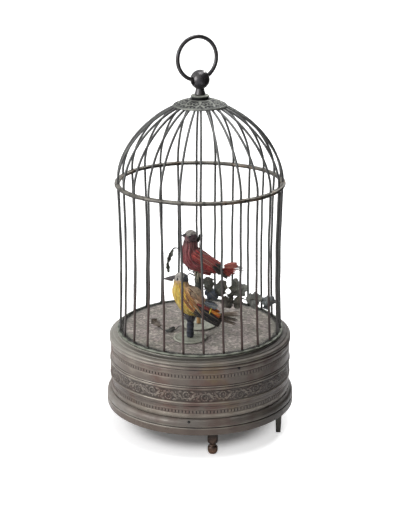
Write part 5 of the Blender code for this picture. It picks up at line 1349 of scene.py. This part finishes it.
RED_ZONES = [
    (-8.4, 151.4, 4.6, 2.6, (172, 167, 161)), (-6, 146.2, 3.4, 3.2, (80, 56, 66)),
    (-10.8, 145, 2.5, 3, (130, 88, 92)), (-7, 139.5, 6, 4, (120, 62, 68)), (-8, 129, 6, 7, (152, 50, 60)),
    (5, 135.5, 8, 3, (158, 102, 96)), (2, 131, 6, 3, (166, 66, 62)), (6, 125, 8, 5, (164, 40, 42)),
    (0, 120.5, 8, 3, (136, 40, 46)), (15, 127, 3, 2.4, (184, 84, 72)), (14, 124, 2.6, 3.6, (40, 32, 34)),
]


def zone_tints(points, bird, sharp=30.0, scatter=0.14):
    """Weights exp(-sharp away), away being the distance to a patch in units of its radii."""
    seen_z = points[..., 2] - VIEW_SLOPE * np.abs(points[..., 1] - bird.plane)
    spot = np.array([zone[:4] for zone in bird.zones], float)
    colours = np.array([paint(*zone[4]) for zone in bird.zones])
    away = np.hypot((points[..., 0, None] - spot[:, 0]) / spot[:, 2],
                    (seen_z[..., None] - spot[:, 1]) / spot[:, 3])
    away = away + scatter * luck.standard_normal(away.shape)
    weight = np.exp(-sharp * (away - away.min(-1, keepdims=True)))
    return (weight[..., None] * colours).sum(-2) / weight.sum(-1)[..., None]


def blended(shape, bird, u, columns):
    """A carved piece: the grid of its points over u, and its colours blended softly."""
    u, phi = np.meshgrid(u, circle(columns), indexing="ij")
    grid = shape[1](u, phi)
    return [(grid, zone_tints(grid, bird, sharp=9.0, scatter=0.0))]


def vary(tints, amount=0.16):
    """Each feather a little lighter or darker than its neighbours."""
    return tints * np.exp(amount * luck.standard_normal((len(tints), 1)))


def new_bird(name, plane, zones, body, centre, radii, aim):
    """body and crown are pairs of middle line and surface; plane is the Y of the bird's middle."""
    return SimpleNamespace(name=name, plane=plane, zones=zones, body=body, centre=np.array(centre),
                           aim=aim, crown=rounded(centre, radii, aim))


luck = np.random.default_rng(7)
yellow = new_bird("yellow", POST[1], YELLOW_ZONES, yellow_body, (POST[0] - 6.7, POST[1], YELLOW_NECK + 4.7),
                  (5.2, 4.7, 4.7), (-1, 0, -0.03))
red = new_bird("red", TRUNK[1], RED_ZONES, red_body, (TRUNK[0] - 6.2, TRUNK[1], RED_NECK + 5.2),
               (4.7, 4.5, 5.0), (-1, -0.45, 0.12))
print(len(YELLOW_ZONES), "patches on the yellow bird,", len(RED_ZONES), "on the red one")

# %% [markdown]
# There are two ways to lay a feather. A contour feather follows the surface from where it is glued,
# and only its tip lifts. A long feather of a wing or a tail leaves the body, so it gets a base and
# a tip of its own and bows outwards between them, in bunches of a few alike.

# %% Laying feathers
def vane(share):
    """A feather's width along its length: full from a third on, a pointed tip, and split edges."""
    return np.sin(math.pi * (0.07 + 0.9 * share)) ** 0.7 * (1 - 0.1 * ((7 * share) % 1))


def scattered(u_low, u_high, rows, round_):
    """Rows of starting points round a body, every second row shifted by half a step."""
    u, k = np.meshgrid(np.linspace(u_high, u_low, rows), np.arange(round_), indexing="ij")
    shift = 0.5 * (np.arange(rows) % 2)[:, None] + 0.35 * luck.uniform(-1, 1, u.shape)
    u = u + 0.4 * (u_high - u_low) / rows * luck.uniform(-1, 1, u.shape)
    return u.ravel(), ((k + shift) * math.tau / round_).ravel()


def plumage(shape, u, phi, length, width, lift, sway):
    """Contour feathers: the spine is the surface from u to u + length / rate, raised by lift s^1.5."""
    axis, surface = shape
    count = len(u)
    length = length * luck.uniform(0.8, 1.2, count)
    width = width * luck.uniform(0.75, 1.2, count)
    s = np.linspace(0, 1, 8)[None]
    rate = np.linalg.norm(surface(u + 0.02, phi) - surface(u, phi), axis=-1) / 0.02
    along = u[:, None] + (length / rate)[:, None] * s
    base = surface(along, phi[:, None] + (sway * luck.standard_normal(count))[:, None] * s)
    normal = unit(base - axis(along))
    rise = 0.12 + (lift * luck.uniform(0.2, 1.3, count))[:, None] * s ** 1.5
    return base + normal * rise[..., None], normal, width[:, None] / 2 * vane(s)


def bunch(base, tip, spread, count, width, bow, plane, side):
    """Long feathers; base and tip are x and z as seen, and the distance out from the middle plane."""
    share = ((np.arange(count) + 0.5) / count - 0.5)[:, None]
    line = unit(np.array([tip[0] - base[0], 0.0, tip[1] - base[1]]))
    across = np.array([-line[2], 0.0, line[0]])
    ends = []
    for (x, z, out), wide in zip((base, tip), spread):
        tuck = 1.8 * (side < 0) * min(out / 5.0, 1.0)
        spot = np.array([x, plane - side * out, z + VIEW_SLOPE * abs(out) - tuck])
        ends.append(spot + share * wide * across + 0.25 * luck.standard_normal((count, 3)))
    start, end = ends
    away = unit(np.array([0.0, -side, 0.25]))
    bend = (start + end) / 2 + bow * away
    s = np.linspace(0, 1, 8)[None, :, None]
    spine = (1 - s) ** 2 * start[:, None] + 2 * s * (1 - s) * bend[:, None] + s ** 2 * end[:, None]
    normal = unit(away + 0.3 * luck.standard_normal((count, 1, 3))) + 0 * spine
    half = width / 2 * luck.uniform(0.8, 1.15, (count, 1)) * vane(s[..., 0])
    return spine, normal, half


def plume_piece(name, sets, body):
    """Makes one piece of many feathers; a set is (spine, normal, half-width) and one tint a feather."""
    spine, normal, half, tint = (np.concatenate([one[k] for one in sets]) for k in range(4))
    points, faces, uv = blades(spine, normal, half, 0.08, across=3, camber=0.22)
    shade = (0.78 + 0.34 * np.linspace(0, 1, 8))[None, :, None, None]
    tints = tint[:, None, None] * np.broadcast_to(shade, (len(tint), 8, 6, 1))
    make_piece(name, points, faces, feather, body, uv=uv, values={"tint": tints.reshape(-1, 3)})


def pick(colours, count):
    """So many of the colours, one for each feather, chosen by luck."""
    tints = np.array([paint(*colour) for colour in colours])
    return vary(tints[luck.integers(0, len(colours), count)], 0.1)


print("feather helpers ready")

# %% [markdown]
# First the carved bodies, closed at both ends, and the contour feathers over them. The breast of
# the yellow bird is silky, so long thin feathers lie over the short ones there. Its side is
# streaked: black, orange, brown and cream feathers run side by side from the shoulder to the wing.

# %% Bodies and contour feathers
def cover(bird, shape, u, phi, length, width, lift, sway):
    """Contour feathers, each with the colour of its patch."""
    laid = plumage(shape, u, phi, length, width, lift, sway)
    return [(*laid, vary(zone_tints(laid[0][:, 4], bird)))]


def streaks(bird, count, u_range, turns, length, width, colours):
    """Long thin feathers between two angles on both sides, with one of the colours each."""
    sets = []
    for mirror in (1, -1):
        u = luck.uniform(*u_range, count)
        phi = mirror * np.radians(luck.uniform(*turns, count))
        spine, normal, half = plumage(bird.body, u, phi, length, width, 0.9, 0.06)
        sets.append((spine + 0.25 * normal, normal, half, pick(colours, count)))
    return sets


for bird, u_end in ((yellow, 6.3), (red, 6.8)):
    skin = blended(bird.body, bird, np.linspace(1.0, u_end, 60), 48)
    tinted_tubes(bird.name + "_body_skin", skin, "case",
                 replaces=(bird.name + "_bird_body",), slot=bird.name + "_feathers")
sets = cover(yellow, yellow.body, *scattered(0.15, 5.5, 24, 32), 6.0, 1.8, 0.5, 0.12)
sets += streaks(yellow, 150, (0.2, 2.4), (112, 180), 11.0, 0.85,
                [(255, 224, 100), (250, 212, 76), (255, 236, 146), (238, 184, 74)])
sets += streaks(yellow, 40, (0.5, 1.9), (76, 108), 13.0, 1.0,
                [(58, 44, 36), (226, 132, 50), (178, 120, 68), (226, 166, 92), (208, 146, 80)])
sets += streaks(yellow, 10, (0.9, 2.2), (78, 108), 14.0, 0.5, [(234, 216, 164)])
plume_piece("yellow_plumage", sets, "case")
sets = cover(red, red.body, *scattered(0.55, 5.8, 27, 30), 5.0, 1.6, 0.5, 0.12)
sets += streaks(red, 80, (0.6, 3.4), (90, 180), 7.5, 0.7, [(146, 56, 66), (88, 32, 44), (186, 104, 108)])
plume_piece("red_plumage", sets, "case")

# %% [markdown]
# The wings are folded against the sides and hang lower than in life, because they are only glued
# at the shoulder. Round the black wing of the yellow bird a red patch, orange feathers and a bright
# yellow pair show, and pale blue-grey ones stand above its rump. Each row of the tables
# is a bunch: where its feathers start and end as seen, how far the bunch spreads at both ends, how
# many feathers it has, their width, how far they bow out, and their colours.

# %% Wings
YELLOW_WING = [
    ((-3.4, 101.0, 9.2), (14.8, 88.4, 5.2), (5.0, 4.6), 17, 3.0, 1.2,
     [(8, 8, 12), (5, 5, 8), (18, 20, 30)]),
    ((-7.0, 107.5, 9.0), (-0.5, 96.8, 8.8), (2.4, 4.4), 7, 1.7, 0.8,
     [(206, 130, 62), (60, 46, 38), (178, 122, 76)]),
    ((3.0, 105.4, 5.6), (13.0, 101.4, 3.8), (1.4, 3.6), 8, 1.5, 0.9,
     [(148, 158, 166), (190, 192, 188), (104, 116, 128)]),
    ((3.4, 99.8, 7.0), (14.6, 94.6, 5.0), (2.4, 3.8), 8, 2.0, 0.8,
     [(226, 112, 38), (238, 146, 40), (206, 84, 34)]),
    ((-2.0, 104.6, 8.6), (6.4, 98.6, 6.9), (2.4, 3.0), 7, 2.0, 0.8,
     [(158, 50, 44), (140, 40, 40), (178, 74, 50)]),
    ((-7.4, 110.4, 8.0), (1.6, 102.4, 7.4), (4.0, 3.6), 14, 1.5, 0.5,
     [(208, 170, 132), (172, 132, 100), (232, 194, 156)]),
    ((8.2, 101.4, 7.6), (7.2, 96.6, 8.2), (0.4, 0.8), 2, 1.1, 0.3, [(240, 208, 62)]),
    ((-4.5, 104.0, 9.4), (2.0, 96.8, 9.0), (2.0, 3.0), 3, 0.5, 0.6, [(232, 216, 170)]),
]
RED_WING = [
    ((-4.6, 134.6, 6.9), (12.6, 122.0, 6.0), (6.4, 5.2), 26, 1.5, 1.2,
     [(184, 44, 50), (220, 84, 76), (108, 26, 34), (196, 52, 52)]),
    ((10.0, 125.6, 6.4), (16.4, 118.6, 5.2), (2.4, 4.6), 9, 1.8, 0.5, [(32, 27, 29), (24, 21, 24)]),
    ((12.5, 122.4, 5.4), (21.0, 114.4, 3.0), (2.4, 1.6), 4, 1.7, 0.4, [(32, 26, 28), (60, 34, 34)]),
    ((-1.0, 121.0, 4.6), (8.6, 118.0, 3.6), (3.2, 3.4), 9, 1.1, 0.8, [(150, 44, 44), (126, 36, 40)]),
    ((-1.5, 133.0, 8.0), (11.0, 124.6, 7.0), (6.0, 5.0), 9, 0.4, 1.1, [(206, 142, 130), (188, 110, 100)]),
]
YELLOW_TAIL_ROWS = [
    ((10.6, 95.4, 0.8), (29.4, 96.4, 1.0), (0.8, 5.0), 3, 0.9, 0.8, [(122, 108, 92), (96, 86, 74)]),
    ((10.4, 94.6, 0.8), (27.4, 89.4, 1.0), (0.8, 7.0), 4, 1.0, 0.6,
     [(116, 102, 88), (78, 70, 62), (96, 84, 72)]),
    ((10.2, 93.8, 1.0), (19.6, 90.6, 1.2), (0.8, 4.0), 2, 1.3, 0.5, [(46, 42, 44), (62, 54, 50)]),
]
RED_TAIL_ROWS = [
    ((18.6, 123.8, 1.2), (28.6, 125.4, 1.0), (2.2, 3.0), 6, 1.7, 0.6, [(202, 116, 104), (186, 92, 80)]),
    ((18.4, 121.2, 1.4), (24.4, 118.8, 1.4), (4.0, 9.0), 9, 1.5, 0.6,
     [(188, 52, 48), (206, 92, 76), (150, 38, 42)]),
    ((18.4, 121.8, 1.3), (27.4, 120.4, 1.2), (3.6, 7.0), 9, 1.0, 0.5,
     [(198, 66, 58), (222, 124, 108), (146, 40, 42)]),
    ((19.0, 123.8, 0.8), (34.0, 121.6, 0.6), (1.6, 4.4), 5, 0.6, 0.4, [(132, 100, 92), (104, 80, 74)]),
]


def bunches(rows, plane):
    """Every bunch on both sides; each feather picks one of its bunch's colours."""
    sets = []
    for base, tip, spread, count, width, bow, colours in rows:
        for side in (1, -1):
            laid = bunch(base, tip, spread, count, width, bow, plane, side)
            sets.append((*laid, pick(colours, count)))
    return sets


plume_piece("yellow_wings", bunches(YELLOW_WING, yellow.plane), "case")
plume_piece("red_wings", bunches(RED_WING, red.plane), "case")

# %% [markdown]
# A tail is a small stub that hinges in the rump, with the long feathers glued round it in a fan.
# From here on, luck has a new start of its own, so the tails stay as they are when the number of
# feathers on the bodies changes.

# %% Tails
def tail(bird, pivot, line, rows, tint, slot):
    """The stub is a tube that swells at the hinge and thins out under the feathers."""
    share = np.linspace(-1, 1, 26)
    way = unit(np.array([line[0], 0.0, line[1]]))
    path = np.array([pivot[0], bird.plane, pivot[1]]) + way * (4.2 * share + 2.2)[:, None]
    radius = 0.25 + 1.15 * np.sqrt(np.clip(1 - share ** 2, 0, 1)) * (1 - 0.35 * share)
    tinted_tubes(bird.name + "_tail_stub", [(tube(path, radius, 16), paint(*tint))], bird.name + "_tail",
                 replaces=(bird.name + "_bird_tail",), slot=slot)
    plume_piece(bird.name + "_tail_feathers", bunches(rows, bird.plane), bird.name + "_tail")


luck = np.random.default_rng(3)
tail(yellow, (5.9, 95.5), (1, -0.3), YELLOW_TAIL_ROWS, (60, 54, 52), "dark_plumes")
tail(red, (17.8, 121.2), (1, 0.1), RED_TAIL_ROWS, (150, 40, 36), "tail_scarlet")

# %% [markdown]
# A head is carved too, with short feathers that all start at the beak and lie backwards. The beak
# is horn in two halves. The upper one is fixed and the lower one drops when the bird sings, so it
# is a piece of its own: half a cone whose flat sides meet. Its root is cut aslant to clear the
# face. The eyes are glass beads in a low rim.

# %% Heads
def half_cone(root, axes, away, length, radius, slant, droop):
    """Fat 1 - 0.94 s^1.35; a curved side over half a turn, then three points along the flat side."""
    aim, side, up = axes
    s = np.linspace(0, 1, 24)[:, None]
    a = np.linspace(0, math.pi, 13)
    x = np.concatenate([np.cos(a), [-0.86, 0.0, 0.86]])[None]
    y = np.concatenate([np.sin(a), [-0.03, -0.03, -0.03]])[None]
    fat = radius * (1 - 0.94 * s ** 1.35)
    forward = length * s + fat * np.clip(y, 0, 1) * slant * (1 - s)
    return (root + forward[..., None] * aim + (fat * x)[..., None] * side + (fat * y)[..., None] * away
            - (droop * s ** 2)[..., None] * up)


def eye(spot, normal, size):
    """A domed bead and its rim as one turned sheet about the normal."""
    side = unit(np.cross([0.0, 0.0, 1.0], normal))
    other = np.cross(normal, side)
    r = size * np.array([0.1, 0.4, 0.65, 0.8, 0.86, 1.0, 1.16, 1.25, 1.25])[:, None, None]
    h = size * np.array([0.62, 0.56, 0.4, 0.15, 0.2, 0.26, 0.14, -0.1, -0.6])[:, None, None]
    a = circle(24)[None, :, None]
    return spot + r * (np.cos(a) * side + np.sin(a) * other) + h * normal


CHIN = [((-16.4, 121.4, 1.2), (-18.4, 118.0, 1.4), (1.4, 2.0), 6, 1.0, 0.4,
         [(122, 118, 112), (150, 144, 136)])]


def head(bird, front, beak, beak_r, lift, slot, chin=()):
    """The carved head, the beak's two halves, the eyes, and feathers that leave the eyes free."""
    body, centre, axes = bird.name + "_head", bird.centre, head_axes(bird.aim)
    ahead, _, up = axes
    skin = blended(bird.crown, bird, np.linspace(0.03, math.pi - 0.03, 36), 40)
    tinted_tubes(body + "_skin", skin, body, replaces=(bird.name + "_bird_head",), slot=slot)
    face = centre + up * lift + ahead * (front - 0.7)
    upper = half_cone(face - ahead * 0.7, axes, up, beak + 1.4, beak_r, 0.0, 0.25)
    hinge = face + ahead * 1.0 - up * 0.3
    lower = half_cone(hinge, axes, -up, 0.88 * beak, 0.8 * beak_r, 0.4, 0.0)
    make_piece(bird.name + "_upper_beak", *join_sheets([upper]), beak_horn, body)
    make_piece(bird.name + "_lower_beak", *join_sheets([lower]), beak_horn, bird.name + "_beak",
               replaces=(bird.name + "_bird_beak",), slot="horn_beak")
    spots = bird.crown[1](np.array([1.0, 1.0]), np.array([1.25, -1.25]))
    eyes = [eye(spot - 0.1 * normal, normal, 0.85) for spot, normal in zip(spots, unit(spots - centre))]
    make_piece(bird.name + "_eyes", *join_sheets(eyes), glass_bead, body)
    u, phi = scattered(0.55, 2.3, 9, 26)
    clear = np.linalg.norm(bird.crown[1](u, phi)[:, None] - spots[None], axis=-1).min(1) > 1.5
    sets = cover(bird, bird.crown, u[clear], phi[clear], 2.9, 1.2, 0.35, 0.1)
    plume_piece(body + "_feathers", sets + bunches(chin, bird.plane), body)


head(yellow, 5.2, 8.6, 2.4, 0.9, "grey_feathers", CHIN)
head(red, 4.7, 3.1, 1.6, 1.4, "plum_feathers")

# %% [markdown]
# The small things round the perches: thin wire legs that grip the stems, a frill of dark feathers
# under the yellow bird, loose cream fibres of the binding at the top of the tall stem, a hooked
# twig beside it, and two dark leaves on a thin shoot behind the red head.

# %% Legs, frill and fibres
def wires(name, rows):
    """Thin bent wires; each row is its stops, its radius and its colour."""
    sheets = []
    for stops, radius, colour in rows:
        path = smooth_path(stops, 10 * len(stops))
        thin = 1 - 0.45 * np.linspace(0, 1, len(path)) ** 3
        sheets.append((tube(path, radius * thin, 8), paint(*colour)))
    tinted_tubes(name, sheets, "case")


LEG = (52, 46, 46)
legs = []
for side in (-1, 1):
    x, y, z = TRUNK[0], TRUNK[1] + 2.6 * side, TRUNK_TOP
    shin = [(x - 7.6, y, z - 1.2), (x - 8.2, y, z - 3.2), (x - 7.0, y, z - 5.2), (x - 4.2, y, z - 6.4)]
    legs.append((shin, 0.42, LEG))
    for turn_, drop in ((0.9, -1.2), (1.5, 0.3), (0.5, 1.4)):
        toe = [(x - 4.4, y, z - 6.3), (x - 3.3, y + 0.4 * side, z - 6.3 - drop),
               (x - 3.1 * math.cos(turn_), y + 0.8 * side * turn_, z - 6.6 - 1.6 * drop)]
        legs.append((toe, 0.32, LEG))
    x, y, z = POST[0], POST[1] + 2.4 * side, POST_TOP
    shin = [(x - 4.4, y, z - 1.0), (x - 4.8, y, z - 2.4), (x - 3.2, y, z - 4.4), (x - 2.7, y, z - 5.4)]
    legs.append((shin, 0.36, LEG))
wires("bird_legs", legs)

FRILL = 40
angle = (circle(FRILL) + 0.05 * luck.standard_normal(FRILL))[:, None]
s = np.linspace(0, 1, 8)[None]
fall_r = 2.6 + 1.5 * np.sin(math.pi * 0.8 * s) + 0.25 * luck.standard_normal((FRILL, 1)) * s
fall_z = POST_TOP - 1.0 - (6.0 + luck.uniform(-1, 1.4, (FRILL, 1))) * s
spine = polar(fall_r, angle, fall_z) + (*POST, 0.0)
half = 0.75 * vane(s) + np.zeros((FRILL, 1))
tint = vary(np.tile(paint(44, 50, 64), (FRILL, 1)), 0.3)
plume_piece("perch_frill", [(spine, unit(polar(1.0, angle, 0.3) + 0 * spine), half, tint)], "case")

x, y, z = TRUNK[0], TRUNK[1] - 3.1, TRUNK_TOP
fibres = []
for k in range(11):
    lean, long = -3.4 + 0.55 * k + 0.3 * math.sin(5.0 * k), 5.5 + 3.0 * math.sin(2.3 * k)
    root_z = z - 5.0 - 2.0 * math.sin(1.7 * k) ** 2
    stops = [(x + 0.5 * lean, y + 0.12 * lean ** 2, root_z), (x + 0.9 * lean, y - 1.0, root_z - 0.4 * long),
             (x + 1.2 * lean, y - 1.2, root_z - long)]
    fibres.append((stops, 0.17, (206, 196, 170)))
hook = [(x - 2.8, y + 1.6, z - 10), (x - 5, y + 1.2, z - 8.6), (x - 7.2, y + 1, z - 7.9),
        (x - 9.3, y + 1, z - 10.4)]
wires("binding_fibres", fibres + [(hook, 0.5, (58, 60, 54))])

shoot = twig_stops[1] + np.array([(0, 0, 0), (4.2, 0.4, 7.2), (4.2, -0.6, 15.4), (3.5, -2.0, 22.0)])
wires("shoot", [(shoot, 0.4, (66, 68, 58))])
leaf_piece("shoot_leaves", [
    (shoot[-1] + (0, 0, -0.6), (0.35, 0, 1), (0.2, -1, 0.1), 5.6, 3.4, 0.1, paint(62, 66, 58)),
    (shoot[-1] + (0, 0, -1.4), (-0.5, 0, 0.7), (0.2, -1, 0.1), 4.0, 2.6, -0.1, paint(50, 54, 50)),
])

# %% [markdown]
# The flock frays at the edge of the card. Each tuft of fibres there is a thin three-sided spike
# with a random direction, and its tip is pulled back where it would reach into the ring. Their dark
# tones also paint the shade in the gap by the ring.

# %% Tufts at the edge of the floor
TUFTS = 1800
spans = (0, math.tau), (FLOOR_R - 1.9, FLOOR_R - 0.1), (0.7, 1.9)
angle, out, long = (luck.uniform(*ends, TUFTS) for ends in spans)
root = polar(out, angle, FLOOR_TOP - 0.25)
way = unit(np.stack([*luck.standard_normal((2, TUFTS)), luck.uniform(0.2, 1.3, TUFTS)], -1))
tip = root + way * long[:, None]
away = np.hypot(tip[:, 0], tip[:, 1])[:, None]
tip[:, :2] *= np.minimum(away, FLOOR_R + 0.1) / away
aside = unit(np.cross(way, (0.3, 0.2, 1.0)))
b = circle(3)[:, None, None]
foot = root + 0.16 * (np.cos(b) * aside + np.sin(b) * np.cross(aside, way))
points = np.concatenate([foot, tip[None]]).transpose(1, 0, 2)
spike = ((0, 1, 3), (1, 2, 3), (2, 0, 3), (2, 1, 0))
faces = [4 * np.arange(TUFTS)[:, None] + np.array(three) for three in spike]
# Mostly dark tones: frayed flock, and painted shade in the gap by the ring.
tuft_tones_and_painted_shade = np.array([paint(*shade) for shade in ((30, 30, 28), (46, 45, 42), (62, 62, 56), (96, 92, 84))])
tints = np.repeat(tuft_tones_and_painted_shade[luck.integers(0, 4, TUFTS)], 4, 0)
make_piece("edge_tufts", points, faces, down, "case", uv=np.full((4 * TUFTS, 2), 0.3), values={"tint": tints})

# %% [markdown]
# The photograph was taken in a light tent: soft light from everywhere, a little stronger from the
# upper left, dark on the right, and a paper sweep that stays pure white except where the drum
# shades it. Three soft lamps, a world that is brighter on the left, and a black card on the right
# do that here, with a painted shadow under the drum, where the paper gives less of its own light.
# The key lamp leaves the paper alone, so the shadow falls to the left front.

# %% Stage and light
def stage_sheet(name, x, y, z, finish):
    """A sheet that is no part of the object; its sizes are in metres."""
    grid = np.stack(np.broadcast_arrays(x, y, z), -1)
    mesh = bpy.data.meshes.new(name)
    faces = sheet_faces(*grid.shape[:2], False, False)
    mesh.from_pydata(grid.reshape(-1, 3).tolist(), [], faces.tolist())
    mesh.shade_smooth()
    mesh.materials.append(finish)
    item = add_object(name, mesh)
    return item


def paper_finish(name, own_light):
    """White paper that adds its own light where the camera looks at it, but little below the drum: a painted
    shadow.
    """
    material, tree, shader, where = start_material(name)
    fibres = cloud(tree, where, 60.0, 0.35, 0.7)
    path = place(tree, "ShaderNodeLightPath").outputs
    seen = arithmetic(tree, "MAXIMUM", path["Is Camera Ray"], path["Is Transmission Ray"])
    # Less own light near the axis paints a dark shadow under the drum.
    clear = spread(tree, away_from_axis(tree, where), 0.042, 0.064, 0.06, own_light)
    feed(tree, shader, {"Base Color": blend_colours(tree, fibres, paint(238, 238, 238), paint(232, 232, 233)),
                        "Roughness": 0.9, "Specular IOR Level": 0.2, "Emission Color": (1.0, 1.0, 1.0),
                        "Emission Strength": times(tree, seen, clear)})
    return material


# The paper lies flat, curves up behind as radius (1 - cos a), and then stands upright.
a = np.linspace(0, math.pi / 2, 24)
paper_y = np.concatenate([[-1.4, -0.6, 0.0], 0.8 + 0.5 * np.sin(a), [1.3]])[:, None]
paper_z = np.concatenate([[0.0, 0.0, 0.0], 0.5 * (1 - np.cos(a)), [2.6]])[:, None]
sweep = stage_sheet("paper_sweep", np.linspace(-2.4, 2.4, 13)[None], paper_y, paper_z,
                    paper_finish("white_paper", 0.62))
# The black card is never seen and casts no shadow; it only takes light away from the right side.
card = stage_sheet("dark_card", 0.26, np.linspace(-0.6, 0.35, 9)[:, None], np.linspace(0.0, 0.7, 7)[None],
                   painted_finish("dark_card", (20, 20, 20), (14, 14, 14), 0.9))
card.visible_camera = card.visible_shadow = False

world = bpy.data.worlds.new("studio")
bpy.context.scene.world = world
world.use_nodes = True
tree = world.node_tree
way = place(tree, "ShaderNodeTexCoord").outputs["Generated"]
sideways = place(tree, "ShaderNodeSeparateXYZ", {0: way}).outputs["X"]
glow = spread(tree, sideways, -0.9, 0.6, 1.3, 0.1)
seen = place(tree, "ShaderNodeLightPath").outputs["Is Camera Ray"]
feed(tree, tree.nodes["Background"], {"Color": (1.0, 1.0, 1.0),
                                      "Strength": arithmetic(tree, "MAXIMUM", seen, glow)})


def soft_lamp(name, spot, aim, size, power):
    """A round lamp at spot that points at aim; its light leaves along -Z."""
    light = bpy.data.lights.new(name, "AREA")
    light.shape, light.size, light.energy = "DISK", size, power
    item = add_object(name, light)
    item.location = spot
    item.rotation_euler = (Vector(aim) - Vector(spot)).to_track_quat("-Z", "Y").to_euler()
    return item


key = soft_lamp("key_lamp", (-0.9, -0.6, 0.55), (0, 0, 0.13), 0.8, 7.0)
soft_lamp("top_lamp", (0.1, 0.1, 1.4), (0, 0, 0.1), 0.8, 9.0)
soft_lamp("back_lamp", (0.5, 0.7, 0.9), (0, 0, 0.08), 0.35, 5.0)
spared = bpy.data.collections.new("not lit by the key lamp")
spared.objects.link(sweep)
spared.collection_objects[0].light_linking.link_state = "EXCLUDE"
key.light_linking.receiver_collection = spared
print("stage and three lamps set")

# %% [markdown]
# The camera was found from the photograph itself: the ellipses of the rim, the floor ring and the
# waist ring fix its height and tilt, and their sizes fix its distance. The long side of the image
# is 508 pixels and the focal length is 1360 pixels, so on a 36 mm sensor the lens is 96.4 mm.

# %% Camera and finish
camera_data = bpy.data.cameras.new("camera")
camera_data.lens = 36.0 * 1360.117 / 508.0  # sensor width, focal length and image height
camera_data.clip_start, camera_data.clip_end = 0.05, 20.0
camera = add_object("camera", camera_data)
camera.location = (0.0, -0.98152, 0.44264)
camera.rotation_euler = (math.radians(72.58), 0.0, 0.0)
bpy.context.scene.camera = camera
bpy.context.scene.view_settings.view_transform = "Standard"
